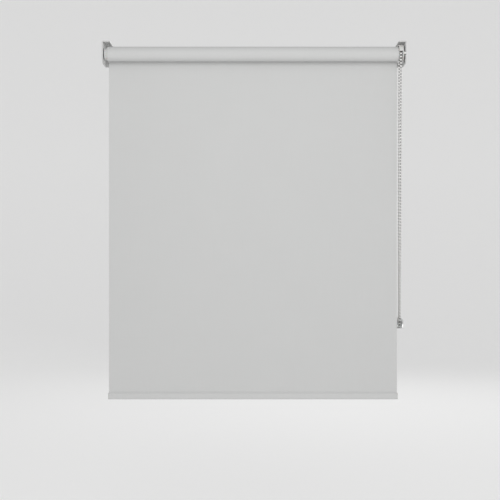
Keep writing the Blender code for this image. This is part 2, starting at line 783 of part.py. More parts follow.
def chain_route():
    """The chain's centre line, from the top of the chain wheel down the front and back up."""
    top = loop_top()
    lean = tangent_angle(PULLEY_Y - AXIS_Y, AXIS_Z - PULLEY_Z)
    front = top + math.pi / 2 + lean
    back = top - math.pi / 2 - lean
    end_angle = GAP / 2 / SPROCKET_PITCH_RADIUS
    half = ARC_POINTS // 2

    def on_wheel(x, y, z, radius, start, end, steps):
        return [(x, *point) for point in arc((y, z), radius, start, end, steps)]

    wheel = (SPROCKET_X, AXIS_Y, AXIS_Z, SPROCKET_PITCH_RADIUS)
    down = on_wheel(*wheel, top + end_angle, front, half)
    turn = on_wheel(
        PULLEY_X, PULLEY_Y, PULLEY_Z, PULLEY_PITCH_RADIUS, front, back + math.tau, ARC_POINTS
    )
    up = on_wheel(*wheel, back, top - end_angle, half)
    route = list(down)
    for start, following in ((down[-1], turn), (turn[-1], up)):
        a, b = Vector(start), Vector(following[0])
        route += [tuple(a.lerp(b, i / (RUN_POINTS + 1))) for i in range(1, RUN_POINTS + 1)]
        route += following
    return route


def tensioner_outline(radius):
    """The tensioner's section: round below the pulley, straight up to its open top."""
    below = arc((PULLEY_Y, PULLEY_Z), radius, math.pi, math.tau, 20)
    top = PULLEY_Z + TENSIONER_TOP
    return [(PULLEY_Y - radius, top), *below, (PULLEY_Y + radius, top)]


def tensioner_sides():
    """The X of the cover's outer and inner faces and of the base plate's inner face."""
    plate = BRACKET_OUTER_X - SHEET_STEEL
    half_room = plate - PULLEY_X
    cover_inner = PULLEY_X - half_room
    return cover_inner - TENSIONER_WALL, cover_inner, plate


def tensioner_base(finish):
    """The body on the recess wall: a base plate with a round trough that keeps the chain in."""
    _, cover_inner, plate = tensioner_sides()
    shell = TROUGH_RADIUS + TENSIONER_WALL
    left = cover_inner + GAP
    made = prism("tensioner_base", finish, tensioner_outline(shell), "X", left, BRACKET_OUTER_X)
    over = CUTTER_OVER
    room = tensioner_outline(TROUGH_RADIUS)
    room = [(room[0][0], room[0][1] + over), *room[1:-1], (room[-1][0], room[-1][1] + over)]
    hollow = prism("room", finish, room, "X", cover_inner - over, plate)
    combine(made, hollow, "DIFFERENCE")
    bore = circle((PULLEY_Y, PULLEY_Z), SLEEVE_BORE_RADIUS, COARSE)
    hole = prism("hole", finish, bore, "X", plate - over, BRACKET_OUTER_X + over)
    combine(made, hole, "DIFFERENCE")
    return made


def tensioner_cover(finish):
    """The cheek that closes the trough on the blind's side, with a countersink for the screw."""
    outside, inside, _ = tensioner_sides()
    shell = TROUGH_RADIUS + TENSIONER_WALL
    soft = COVER_CHAMFER
    sections = ((inside, shell), (outside + soft, shell), (outside, shell - soft))
    rings = [[(x, *point) for point in tensioner_outline(radius)] for x, radius in sections]
    made = loft("tensioner_cover", finish, rings)
    levels = (
        (outside - GAP, SCREW_HEAD_RADIUS - 2 * GAP),
        (inside - GAP, SLEEVE_BORE_RADIUS),
        (inside + GAP, SLEEVE_BORE_RADIUS),
    )
    cone = [
        [(x, *point) for point in circle((PULLEY_Y, PULLEY_Z), radius, COARSE)]
        for x, radius in levels
    ]
    combine(made, loft("countersink", finish, cone), "DIFFERENCE")
    return made


def tensioner_pulley(finish):
    """The idler wheel, with its origin on its axis."""
    _, _, plate = tensioner_sides()
    half = plate - PULLEY_X - GAP
    groove = PULLEY_PITCH_RADIUS - BEAD_RADIUS - GAP
    rim = groove + PULLEY_RIM
    cheek = GROOVE_HALF_WIDTH
    bore = SLEEVE_RADIUS + RUNNING_CLEARANCE
    profile = [
        (-half, bore),
        (-half, rim),
        (-cheek, rim),
        (-cheek, groove),
        (cheek, groove),
        (cheek, rim),
        (half, rim),
        (half, bore),
    ]
    centre = (PULLEY_X, PULLEY_Y, PULLEY_Z)
    return turned("tensioner_pulley", finish, profile, facets=MEDIUM, location=centre)


def tensioner_sleeve(finish):
    """The hollow axle between base and cover, which the fixing screw passes through."""
    _, inside, plate = tensioner_sides()
    profile = [
        (inside + GAP - PULLEY_X, SLEEVE_BORE_RADIUS),
        (inside + GAP - PULLEY_X, SLEEVE_RADIUS),
        (plate - GAP - PULLEY_X, SLEEVE_RADIUS),
        (plate - GAP - PULLEY_X, SLEEVE_BORE_RADIUS),
    ]
    centre = (PULLEY_X, PULLEY_Y, PULLEY_Z)
    return turned("tensioner_sleeve", finish, profile, facets=MEDIUM, location=centre)


# ---------------------------------------------------------------- the blind


def main():
    clear_scene()
    steel = material("white_painted_steel", (0.74, 0.74, 0.73), 0.4, 0.1)
    cloth = material("blackout_cloth", (0.62, 0.63, 0.62), 0.85)
    aluminium = material("mill_aluminium", (0.66, 0.67, 0.68), 0.35, 1.0)
    plastic = material("white_plastic", (0.80, 0.80, 0.79), 0.35)
    spring = material("spring_steel", (0.45, 0.45, 0.46), 0.3, 1.0)
    nickel = material("nickel_plate", (0.70, 0.70, 0.70), 0.2, 1.0)
    clear = material("clear_plastic", (0.78, 0.80, 0.80), 0.12)

    roller = empty("roller_axis", (0, AXIS_Y, AXIS_Z))
    hem = empty("hem_centre", (0, HEM_Y, HEM_Z))

    bracket_drive(steel)
    bracket_idle(steel)

    clutch_hub(plastic, roller)
    chain_guard(plastic, roller)
    hub_retainer(plastic, roller)

    roller_tube(aluminium, roller)
    fabric_roll(cloth, roller)
    drive_core(plastic, roller)
    chain_sprocket(plastic, roller)
    wrap_spring("wrap_spring_outer", OUTER_SPRING_X, spring, roller)
    wrap_spring("wrap_spring_inner", INNER_SPRING_X, spring, roller)
    idle_plug(plastic, roller)
    idle_plug_cap(plastic, roller)
    idle_pin(steel, roller)
    idle_pin_spring(spring, roller)

    fabric_sheet(cloth)
    hem_pocket(cloth, hem)
    hem_bar(aluminium, hem)
    hem_cap("hem_cap_left", -1, plastic, hem)
    hem_cap("hem_cap_right", 1, plastic, hem)

    wire("bead_chain", nickel, chain_route(), BEAD_RADIUS)
    tensioner_base(clear)
    tensioner_cover(clear)
    tensioner_pulley(plastic)
    tensioner_sleeve(steel)
    print(f"pulley axis at z {PULLEY_Z:.5f}, chain {CHAIN_LENGTH:.3f} m")


main()
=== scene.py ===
"""Visual model of the roller blind: meshes, finishes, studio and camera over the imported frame.

Metres, +Z up, +X towards the chain, +Y towards the window.
"""

from __future__ import annotations

import json
import logging
import math
from dataclasses import dataclass
from enum import Enum
from typing import Any, Callable, Sequence

import bmesh
import bpy
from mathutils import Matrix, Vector, noise


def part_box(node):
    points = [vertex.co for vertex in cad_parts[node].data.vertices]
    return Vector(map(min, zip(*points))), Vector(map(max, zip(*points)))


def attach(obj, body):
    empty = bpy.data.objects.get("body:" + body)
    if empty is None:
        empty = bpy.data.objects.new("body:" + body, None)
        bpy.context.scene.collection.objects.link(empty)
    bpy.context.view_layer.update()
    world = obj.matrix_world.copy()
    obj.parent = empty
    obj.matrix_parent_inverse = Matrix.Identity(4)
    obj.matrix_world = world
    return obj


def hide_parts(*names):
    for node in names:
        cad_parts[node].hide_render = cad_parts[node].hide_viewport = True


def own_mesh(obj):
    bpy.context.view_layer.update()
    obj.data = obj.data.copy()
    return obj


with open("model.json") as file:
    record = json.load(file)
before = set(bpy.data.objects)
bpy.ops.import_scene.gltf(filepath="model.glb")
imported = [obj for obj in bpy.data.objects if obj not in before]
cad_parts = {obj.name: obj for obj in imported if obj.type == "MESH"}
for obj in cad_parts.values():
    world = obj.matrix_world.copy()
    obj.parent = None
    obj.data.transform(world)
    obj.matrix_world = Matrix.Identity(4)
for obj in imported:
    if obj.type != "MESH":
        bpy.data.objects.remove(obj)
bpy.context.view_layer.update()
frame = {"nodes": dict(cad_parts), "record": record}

log = logging.getLogger("roller_blind")

# Near-black link colours: painted shade in the gaps between the chain's beads and on each bead's
# ends.
LINK_PAINTED_SHADE = (0.07, 0.069, 0.068)
LINK_PAINTED_SHADE_HAZE = (0.03, 0.029, 0.028)
ZINC = (0.66, 0.67, 0.68)
ZINC_HAZE = (0.5, 0.51, 0.52)
KNEE = 0.3

Piece = bpy.types.Object
Material = bpy.types.Material
Socket = bpy.types.NodeSocket
Point = Sequence[float]
Colour = tuple[float, float, float]
Place = Callable[[float], tuple[Vector, Vector]]
Span = tuple[float, Place]


class Side(Enum):
    """The two ends of the blind, with the sign of their X."""

    IDLE = -1
    DRIVE = 1


class Along(Enum):
    """The axis that an outline is extruded along."""

    X = 0
    Y = 1
    Z = 2

    def lift(self, outline: Sequence[Point], level: float) -> list[Point]:
        """Returns an outline in the plane of the other two axes, put at a level of this one."""
        return [(*point[: self.value], level, *point[self.value :]) for point in outline]


class Join(Enum):
    """What a tool does to the piece that it meets."""

    CUT = "DIFFERENCE"
    ADD = "UNION"


class ClothLay(Enum):
    """How a piece of the blind's cloth lies, which says where its threads run."""

    FLAT = "flat"
    WOUND = "wound"


# ---------------------------------------------------------------- shader boards


class Channel:
    """A number on a socket. Arithmetic with it adds Math nodes to its board."""

    def __init__(self, board: Board, socket: bpy.types.NodeSocket) -> None:
        """Wraps one output socket of a board."""
        self.board = board
        self.socket = socket

    def __add__(self, other: Channel | float) -> Channel:
        """Returns the sum as a new channel."""
        return self.board.maths("ADD", self, other)

    def __radd__(self, other: float) -> Channel:
        """Returns the sum with a number in front."""
        return self.board.maths("ADD", other, self)

    def __sub__(self, other: Channel | float) -> Channel:
        """Returns the difference as a new channel."""
        return self.board.maths("SUBTRACT", self, other)

    def __rsub__(self, other: float) -> Channel:
        """Returns a number less this channel."""
        return self.board.maths("SUBTRACT", other, self)

    def __mul__(self, other: Channel | float) -> Channel:
        """Returns the product as a new channel."""
        return self.board.maths("MULTIPLY", self, other)

    def __rmul__(self, other: float) -> Channel:
        """Returns the product with a number in front."""
        return self.board.maths("MULTIPLY", other, self)

    def __pow__(self, other: Channel | float) -> Channel:
        """Returns this channel raised to a power."""
        return self.board.maths("POWER", self, other)

    def __abs__(self) -> Channel:
        """Returns the channel without its sign."""
        return self.board.maths("ABSOLUTE", self)

    def cosine(self) -> Channel:
        """Returns the cosine of the channel, in radians."""
        return self.board.maths("COSINE", self)

    def rise(self, low: float, high: float) -> Channel:
        """A smooth step over a range of this channel.

        Args:
            low: The value where the step begins, with 0 before it.
            high: The value where the step has reached 1.

        Returns:
            The step as a new channel.
        """
        step = self.board.node(
            "ShaderNodeMapRange",
            {"interpolation_type": "SMOOTHSTEP"},
            {"Value": self, "From Min": low, "From Max": high},
        )
        return Channel(self.board, step.outputs["Result"])


class Board:
    """The nodes of one material: a Principled shader and what feeds it."""

    def __init__(self, name: str) -> None:
        """Makes a material that holds only its shader and output.

        Args:
            name: The material's name.
        """
        self.material = bpy.data.materials.new(name)
        self.material.use_nodes = True
        self.tree = self.material.node_tree
        self.tree.nodes.clear()
        self.shader = self.node("ShaderNodeBsdfPrincipled")
        output = self.node("ShaderNodeOutputMaterial")
        self.tree.links.new(self.shader.outputs["BSDF"], output.inputs["Surface"])

    def node(
        self,
        kind: str,
        settings: dict[str, Any] | None = None,
        inputs: dict[str | int, Any] | None = None,
    ) -> bpy.types.Node:
        """Adds a node.

        Args:
            kind: The node's type.
            settings: Its own settings, set first.
            inputs: Values, channels or sockets for its input sockets, by name or number.

        Returns:
            The new node.
        """
        made = self.tree.nodes.new(kind)
        for key, value in (settings or {}).items():
            setattr(made, key, value)
        for key, value in (inputs or {}).items():
            self.plug(made.inputs[key], value)
        return made

    def plug(self, socket: Socket, value: Any) -> None:
        """Links a channel or socket to an input, or writes a constant on it.

        Args:
            socket: The input.
            value: What it gets. A colour goes without its alpha.
        """
        source = value.socket if isinstance(value, Channel) else value
        if isinstance(source, bpy.types.NodeSocket):
            self.tree.links.new(source, socket)
        else:
            socket.default_value = (*source, 1.0) if socket.type == "RGBA" else source

    def maths(self, operation: str, *values: Channel | float) -> Channel:
        """Adds a Math node.

        Args:
            operation: The node's operation.
            values: Its operands, in order.

        Returns:
            The result as a channel.
        """
        made = self.node("ShaderNodeMath", {"operation": operation}, dict(enumerate(values)))
        return Channel(self, made.outputs[0])

    def place(self) -> tuple[Socket, Channel, Channel, Channel]:
        """The position on the object.

        Returns:
            The position's vector socket, and its X, Y and Z as channels, in metres.
        """
        where = self.node("ShaderNodeTexCoord").outputs["Object"]
        parts = self.node("ShaderNodeSeparateXYZ", inputs={0: where})
        return where, *(Channel(self, output) for output in parts.outputs)

    def grain(self, where: Socket, scale: float | Point, detail: float) -> Channel:
        """Noise over a position.

        Args:
            where: The position.
            scale: Grains to a metre, for every axis or for each.
            detail: How many finer layers the noise has.

        Returns:
            The noise, from 0 to 1, as a channel.
        """
        scales = (scale,) * 3 if isinstance(scale, float) else scale
        spread = self.node("ShaderNodeVectorMath", {"operation": "MULTIPLY"}, {0: where, 1: scales})
        inputs = {"Vector": spread.outputs["Vector"], "Scale": 1.0, "Detail": detail}
        return Channel(self, self.node("ShaderNodeTexNoise", inputs=inputs).outputs["Fac"])

    def blend(self, share: Channel, low: Any, high: Any) -> Socket:
        """Mixes two colours.

        Args:
            share: How much of the second colour shows.
            low: The first colour, or a socket.
            high: The second colour, or a socket.

        Returns:
            The mixed colour's socket.
        """
        made = self.node("ShaderNodeMix", {"data_type": "RGBA"}, {0: share, 6: low, 7: high})
        return made.outputs[2]

    def bump(self, height: Channel, depth: float, strength: float) -> None:
        """Feeds the shader's normal from a height.

        Args:
            height: The surface's height, from 0 to 1.
            depth: What a height of 1 measures, in metres.
            strength: How much of the bump shows.
        """
        inputs = {"Strength": strength, "Distance": depth, "Height": height}
        made = self.node("ShaderNodeBump", inputs=inputs)
        self.plug(self.shader.inputs["Normal"], made.outputs["Normal"])

    def dress(self, **sockets: Any) -> Material:
        """Writes the shader's sockets.

        Args:
            sockets: Values or links by socket name, with _ for each space.

        Returns:
            The finished material.
        """
        for key, value in sockets.items():
            self.plug(self.shader.inputs[key.replace("_", " ")], value)
        return self.material


# ---------------------------------------------------------------- finishes


@dataclass(frozen=True)
class BlindCloth:
    """Coated plain-weave polyester in pale grey, matt with a faint sheen."""

    lay: ClothLay = ClothLay.FLAT
    colour: Colour = (0.600, 0.603, 0.599)
    shade: Colour = (0.560, 0.563, 0.559)
    thread_pitch: float = 0.0005
    axis: tuple[float, float] = (0.0, 0.0)
    radius: float = 0.0143
    half_width: float = 0.2825
    centre_x: float = 0.0
    streak_width: float = 0.0011
    streak_length: float = 0.09
    mottle_size: float = 0.11
    edge_width: float = 0.004
    weave_depth: float = 0.00006
    streak_tone: float = 0.30
    mottle_tone: float = 0.30
    # Painted sheen sets warp against weft at the crossings; painted shade darkens the weave's
    # hollows.
    crossing_painted_sheen: float = 0.10
    hollow_painted_shade: float = 0.12
    edge_tone: float = 0.10
    slub: float = 0.35

    def make(self) -> Material:
        """Lays the weave with its painted sheen and painted shade, the streaks of the yarn and a
        darker strip along the side edges over the piece.

        Returns:
            The cloth's material, with its threads along the piece.
        """
        board = Board(f"blind_cloth_{self.lay.value}")
        _, x, y, z = board.place()
        run = z
        if self.lay is ClothLay.WOUND:
            run = board.maths("ARCTAN2", z - self.axis[1], y - self.axis[0]) * self.radius
        turn = math.pi / self.thread_pitch
        crossing = (x * turn).cosine() * (run * turn).cosine()
        pillow = abs(crossing) ** 0.5
        laid = board.node("ShaderNodeCombineXYZ", inputs={0: x, 1: run}).outputs[0]
        long, short = 1 / self.streak_length, 1 / self.streak_width
        warp = board.grain(laid, (short, long, 1.0), 1.0)
        weft = board.grain(laid, (long, short, 1.0), 1.0)
        mottle = board.grain(laid, 1 / self.mottle_size, 3.0)
        # rim: a darker strip along the side edges, edge_width wide.
        rim = abs(x - self.centre_x).rise(self.half_width - self.edge_width, self.half_width)
        tone = warp * self.streak_tone + weft * self.streak_tone + mottle * self.mottle_tone
        # Painted sheen: the thread crossings lighter or darker, warp against weft.
        tone = tone + (crossing * 0.5 + 0.5) * self.crossing_painted_sheen
        # Painted shade darkens the weave's hollows.
        tone = tone + (1 - pillow) * self.hollow_painted_shade + rim * self.edge_tone
        board.bump(pillow + (warp + weft) * self.slub, self.weave_depth, 0.5)
        return board.dress(
            Base_Color=board.blend(tone, self.colour, self.shade),
            Roughness=0.78 + tone * 0.14,
            Sheen_Weight=0.12,
            Sheen_Roughness=0.45,
            Specular_IOR_Level=0.3,
        )


@dataclass(frozen=True)
class PowderCoat:
    """White powder coat on steel, with orange peel and scuffs round the roller's axis."""

    colour: Colour = (0.56, 0.56, 0.555)
    bare: Colour = (0.38, 0.38, 0.375)
    axis: tuple[float, float] = (0.0, 0.0)
    peel: float = 0.0011
    peel_depth: float = 0.00003
    scuff_reach: float = 0.006
    scuff_grain: float = 0.0007

    def make(self) -> Material:
        """Mixes the coat with the scuffs that bare it.

        Returns:
            The coat's material.
        """
        board = Board("powder_coat")
        where, _, y, z = board.place()
        peel = board.grain(where, 1 / self.peel, 1.0)
        specks = board.grain(where, 1 / self.scuff_grain, 4.0)
        away = (y - self.axis[0]) ** 2.0 + (z - self.axis[1]) ** 2.0
        near = 1 - (away ** 0.5).rise(self.scuff_reach * 0.4, self.scuff_reach)
        scuff = specks.rise(0.56, 0.64) * near
        board.bump(peel + specks * 0.2, self.peel_depth, 0.6)
        return board.dress(
            Base_Color=board.blend(scuff, self.colour, self.bare),
            Roughness=0.36 + peel * 0.12 + scuff * 0.1,
            Specular_IOR_Level=0.5,
        )


@dataclass(frozen=True)
class MouldedPlastic:
    """White acetal with a fine spark-eroded skin and faint flow marks."""

    colour: Colour = (0.66, 0.66, 0.65)
    shade: Colour = (0.59, 0.59, 0.58)
    skin: float = 0.00035
    skin_depth: float = 0.000012
    flow: float = 0.008

    def make(self) -> Material:
        """Lays the mould's skin and flow marks over the piece.

        Returns:
            The plastic's material.
        """
        board = Board("moulded_plastic")
        where, *_ = board.place()
        skin = board.grain(where, 1 / self.skin, 2.0)
        flow = board.grain(where, (1 / self.flow, 3 / self.flow, 1 / self.flow), 3.0)
        board.bump(skin, self.skin_depth, 0.5)
        return board.dress(
            Base_Color=board.blend(flow.rise(0.35, 0.8), self.colour, self.shade),
            Roughness=0.30 + flow * 0.16,
            Specular_IOR_Level=0.5,
            Subsurface_Weight=0.05,
            Subsurface_Scale=0.0008,
        )


@dataclass(frozen=True)
class ClearPlastic:
    """Clear moulded polycarbonate, with rubbed patches."""

    colour: Colour = (0.86, 0.87, 0.865)
    refraction: float = 1.58
    rub: float = 0.0022
    rub_depth: float = 0.00001

    def make(self) -> Material:
        """Roughens the rubbed patches.

        Returns:
            The plastic's material.
        """
        board = Board("clear_plastic")
        where, *_ = board.place()
        rub = board.grain(where, 1 / self.rub, 4.0)
        board.bump(rub, self.rub_depth, 0.4)
        return board.dress(
            Base_Color=self.colour,
            Roughness=0.26 + rub.rise(0.45, 0.8) * 0.16,
            Transmission_Weight=1.0,
            IOR=self.refraction,
        )


@dataclass(frozen=True)
class DrawnAluminium:
    """Mill-finish aluminium with fine die lines along X and a few handling marks."""

    name: str = "drawn_aluminium"
    colour: Colour = (0.70, 0.71, 0.72)
    dull: Colour = (0.52, 0.53, 0.54)
    line_width: float = 0.00035
    line_length: float = 0.05
    line_depth: float = 0.000008
    mark_scale: tuple[float, float, float] = (120.0, 300.0, 300.0)

    def make(self) -> Material:
        """Lays the die lines and the marks of handling over the piece.

        Returns:
            The metal's material.
        """
        board = Board(self.name)
        where, *_ = board.place()
        fine = 1 / self.line_width
        lines = board.grain(where, (1 / self.line_length, fine, fine), 3.0)
        marks = board.grain(where, self.mark_scale, 4.0).rise(0.6, 0.75)
        board.bump(lines, self.line_depth, 0.6)
        return board.dress(
            Base_Color=board.blend(lines * 0.5 + marks * 0.4, self.colour, self.dull),
            Metallic=1.0,
            Roughness=0.28 + lines * 0.18 + marks * 0.1,
        )


@dataclass(frozen=True)
class SteelWire:
    """Oiled spring wire, grey with darker stains."""

    colour: Colour = (0.46, 0.46, 0.47)
    stain: Colour = (0.28, 0.27, 0.26)
    grain: float = 0.0012
    grain_depth: float = 0.00001

    def make(self) -> Material:
        """Stains the bare wire.

        Returns:
            The wire's material.
        """
        board = Board("spring_wire")
        where, *_ = board.place()
        stains = board.grain(where, 1 / self.grain, 4.0)
        board.bump(stains, self.grain_depth, 0.4)
        return board.dress(
            Base_Color=board.blend(stains.rise(0.5, 0.75), self.colour, self.stain),
            Metallic=1.0,
            Roughness=0.24 + stains * 0.2,
        )


@dataclass(frozen=True)
class NickelPlate:
    """Bright nickel plate, a little hazed by handling; the chain's links take it in near-black, as
    painted shade.
    """

    name: str = "nickel_plate"
    colour: Colour = (0.86, 0.853, 0.843)
    haze: Colour = (0.70, 0.694, 0.686)
    grain: float = 0.0016
    scratch: float = 0.00018
    scratch_depth: float = 0.000004

    def make(self) -> Material:
        """Hazes and scratches the bright plate.

        Returns:
            The plate's material.
        """
        board = Board(self.name)
        where, *_ = board.place()
        cloud = board.grain(where, 1 / self.grain, 3.0)
        fine = 1 / self.scratch
        rub = board.grain(where, (fine, fine, fine * 0.1), 1.0)
        board.bump(rub, self.scratch_depth, 0.5)
        return board.dress(
            Base_Color=board.blend(cloud.rise(0.4, 0.8), self.colour, self.haze),
            Metallic=1.0,
            Roughness=0.10 + cloud * 0.10 + rub * 0.05,
        )


@dataclass(frozen=True)
class StudioPaper:
    """The pale paper of the floor and the sweep behind."""

    colour: Colour = (0.60, 0.60, 0.598)
    shade: Colour = (0.58, 0.58, 0.578)
    fibre: float = 0.004
    fibre_depth: float = 0.0001
    glow: float = 0.32

    def make(self) -> Material:
        """Lays the fibres over the paper.

        Returns:
            The paper's material.
        """
        board = Board("studio_paper")
        where, *_ = board.place()
        fibre = board.grain(where, 1 / self.fibre, 3.0)
        board.bump(fibre, self.fibre_depth, 0.3)
        return board.dress(
            Base_Color=board.blend(fibre, self.colour, self.shade),
            Roughness=0.85 + fibre * 0.1,
            Specular_IOR_Level=0.2,
            Emission_Color=(1.0, 1.0, 1.0),
            Emission_Strength=self.glow,
        )


class Finishes:
    """The blind's materials, made once and shared by its pieces."""

    def __init__(self, roller_axis: Vector) -> None:
        """Makes every material.

        Args:
            roller_axis: A point on the axis that the cloth is wound round.
        """
        axis = (roller_axis.y, roller_axis.z)
        low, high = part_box("fabric_sheet")
        spread = {"half_width": (high.x - low.x) / 2, "centre_x": (high.x + low.x) / 2}
        self.cloth = BlindCloth(ClothLay.FLAT, **spread).make()
        self.wound_cloth = BlindCloth(ClothLay.WOUND, axis=axis, **spread).make()
        self.coat = PowderCoat(axis=axis).make()
        self.plastic = MouldedPlastic().make()
        self.aluminium = DrawnAluminium().make()
        self.wire = SteelWire().make()
        self.nickel = NickelPlate().make()
        # The near-black link material is painted shade between the beads.
        self.link = NickelPlate("chain_link_painted_shade", LINK_PAINTED_SHADE, LINK_PAINTED_SHADE_HAZE).make()
        self.clear = ClearPlastic().make()
        self.pin = NickelPlate("zinc_plate", ZINC, ZINC_HAZE).make()
        self.paper = StudioPaper().make()


# ---------------------------------------------------------------- mesh making


def arc(centre: Point, radius: float, start: float, end: float, steps: int) -> list[Point]:
    """Points of an arc in a plane.

    Args:
        centre: Its centre.
        radius: Its radius.
        start: Its first angle, in radians from the plane's first axis.
        end: Its last angle.
        steps: How many straight pieces it has.

    Returns:
        The points, both ends included.
    """
    angles = [start + (end - start) * i / steps for i in range(steps + 1)]
    return [(centre[0] + radius * math.cos(a), centre[1] + radius * math.sin(a)) for a in angles]


def circle(centre: Point, radius: float, facets: int) -> list[Point]:
    """Returns the corners of a regular polygon round a centre."""
    return arc(centre, radius, 0.0, math.tau * (1 - 1 / facets), facets - 1)


def rounded_box(
    centre: Point, width: float, height: float, radius: float, steps: int
) -> list[Point]:
    """An upright rectangle with round corners.

    Args:
        centre: Its centre.
        width: Its size along the plane's first axis.
        height: Its size along the second.
        radius: The corners' radius.
        steps: Straight pieces in each corner.

    Returns:
        The outline's points.
    """
    points: list[Point] = []
    for turn, (sx, sy) in enumerate(((1, 1), (-1, 1), (-1, -1), (1, -1))):
        corner = (centre[0] + sx * (width / 2 - radius), centre[1] + sy * (height / 2 - radius))
        start = turn * math.pi / 2
        points += arc(corner, radius, start, start + math.pi / 2, steps)
    return points


def quarter(steps: int) -> list[tuple[float, float]]:
    """Returns a quarter of a unit circle from its start, as (along, up) points."""
    turns = [math.pi / 2 * i / steps for i in range(steps + 1)]
    return [(math.sin(turn), 1 - math.cos(turn)) for turn in turns]


def eased(x: float, radius: float, edge: float) -> list[Point]:
    """Returns a profile's rounded corner, from its face to its rim, for a left face."""
    return [(x, radius - edge), (x + KNEE * edge, radius - KNEE * edge), (x + edge, radius)]


def mirrored(points: Sequence[Point], middle: float) -> list[Point]:
    """Returns a profile's points from the other side of a middle X, in the other order."""
    return [(2 * middle - x, *rest) for x, *rest in reversed(points)]


def hoop(middle: Vector, right: Vector, up: Vector, radius: float, sides: int) -> list[Vector]:
    """Returns a ring of points round a middle, in the plane of two unit vectors."""
    turns = [math.tau * i / sides for i in range(sides)]
    return [middle + (right * math.cos(turn) + up * math.sin(turn)) * radius for turn in turns]


def smooth(share: float) -> float:
    """Returns a share from 0 to 1, eased at both ends."""
    return share * share * (3 - 2 * share)


class Bench:
    """Makes closed meshes and bakes what finishes them."""

    SHARP = math.radians(32)
    ROUNDED = math.radians(38)
    SAME_POINT = 1e-7
    SLIVER = 2e-6

    @staticmethod
    def loft(
        name: str,
        rings: Sequence[Sequence[Point]],
        closed: bool = False,
        bands: Sequence[int] | None = None,
    ) -> Piece:
        """A skin over rings of equal point counts.

        Args:
            name: The new object's name.
            rings: The rings, in order.
            closed: Whether the last ring joins the first, instead of both being capped.
            bands: The material number of the skin after each ring.

        Returns:
            The object, in the scene.
        """
        shape = bmesh.new()
        loops = [[shape.verts.new(point) for point in ring] for ring in rings]
        pairs = list(zip(loops, loops[1:]))
        if closed:
            pairs.append((loops[-1], loops[0]))
        else:
            shape.faces.new(loops[0])
            shape.faces.new(loops[-1])
        count = len(rings[0])
        for k, (near, far) in enumerate(pairs):
            for i in range(count):
                j = (i + 1) % count
                face = shape.faces.new((near[i], near[j], far[j], far[i]))
                face.material_index = bands[k] if bands else 0
        return Bench.finish(name, shape)

    @staticmethod
    def finish(name: str, shape: bmesh.types.BMesh) -> Piece:
        """Turns a bmesh into a smooth-shaded object with its sharp edges marked.

        Args:
            name: The new object's name.
            shape: The bmesh, which is freed.

        Returns:
            The object, in the scene.
        """
        bmesh.ops.remove_doubles(shape, verts=shape.verts, dist=Bench.SAME_POINT)
        bmesh.ops.recalc_face_normals(shape, faces=shape.faces)
        mesh = bpy.data.meshes.new(name)
        Bench.shade(shape, mesh)
        made = bpy.data.objects.new(name, mesh)
        bpy.context.collection.objects.link(made)
        return made

    @staticmethod
    def shade(shape: bmesh.types.BMesh, mesh: bpy.types.Mesh) -> None:
        """Writes a bmesh into a mesh, and shades it smooth with its sharp edges marked.

        Args:
            shape: The bmesh, which is freed.
            mesh: The mesh.
        """
        shape.to_mesh(mesh)
        shape.free()
        mesh.shade_smooth()
        mesh.set_sharp_from_angle(angle=Bench.SHARP)

    @staticmethod
    def turned(
        name: str,
        profile: Sequence[Point],
        centre: Vector,
        facets: int,
        lobes: int = 0,
        phase: float = 0.0,
    ) -> Piece:
        """A ring turned about a line along X.

        Args:
            name: The new object's name.
            profile: Closed profile of (x, radius) or (x, radius, dip) points.
            centre: A point on the axis. Only its Y and Z count.
            facets: Corners round the axis.
            lobes: How many dips there are round it.
            phase: Angle from +Z, towards -Y, of a crest between two dips.

        Returns:
            The object.
        """
        rings = []
        for x, radius, *dip in profile:
            ring = []
            for i in range(facets):
                turn = math.tau * i / facets
                depth = dip[0] * (0.5 - 0.5 * math.cos(lobes * turn)) ** 2 if dip else 0.0
                reach, angle = radius - depth, turn + phase
                y, z = centre.y - reach * math.sin(angle), centre.z + reach * math.cos(angle)
                ring.append((x, y, z))
            rings.append(ring)
        return Bench.loft(name, rings, closed=True)

    @staticmethod
    def prism(
        name: str, outline: Sequence[Point], along: Along, low: float, high: float
    ) -> Piece:
        """An outline extruded along an axis.

        Args:
            name: The new object's name.
            outline: The outline, in the plane's two other axes in their order.
            along: The axis of the extrusion.
            low: Where it starts.
            high: Where it ends.

        Returns:
            The object.
        """
        return Bench.loft(name, [along.lift(outline, level) for level in (low, high)])

    @staticmethod
    def combine(target: Piece, tool: Piece, how: Join) -> None:
        """Cuts a tool from the target, or joins it on, and bakes the result.

        Args:
            target: The object to change.
            tool: The other object, which is removed.
            how: Whether the tool cuts or adds.
        """
        step = target.modifiers.new(how.name.lower(), "BOOLEAN")
        step.operation = how.value
        step.solver = "EXACT"
        step.object = tool
        Bench.bake(target)
        bpy.data.objects.remove(tool, do_unlink=True)

    @staticmethod
    def soften(target: Piece, width: float, segments: int) -> None:
        """Rounds the target's sharp edges.

        Args:
            target: The object to change.
            width: How far the rounding reaches from each edge.
            segments: Faces across each rounding.
        """
        step = target.modifiers.new("edge", "BEVEL")
        step.width = width
        step.segments = segments
        step.limit_method = "ANGLE"
        step.angle_limit = Bench.ROUNDED
        Bench.bake(target)

    @staticmethod
    def bake(target: Piece) -> None:
        """Replaces the target's mesh by what its modifiers make of it.

        Args:
            target: The object to change.
        """
        bpy.context.view_layer.update()
        graph = bpy.context.evaluated_depsgraph_get()
        made = bpy.data.meshes.new_from_object(target.evaluated_get(graph))
        target.modifiers.clear()
        target.data = made
        shape = bmesh.new()
        shape.from_mesh(made)
        bmesh.ops.remove_doubles(shape, verts=shape.verts, dist=Bench.SLIVER)
        bmesh.ops.dissolve_degenerate(shape, edges=shape.edges, dist=Bench.SLIVER)
        Bench.shade(shape, made)

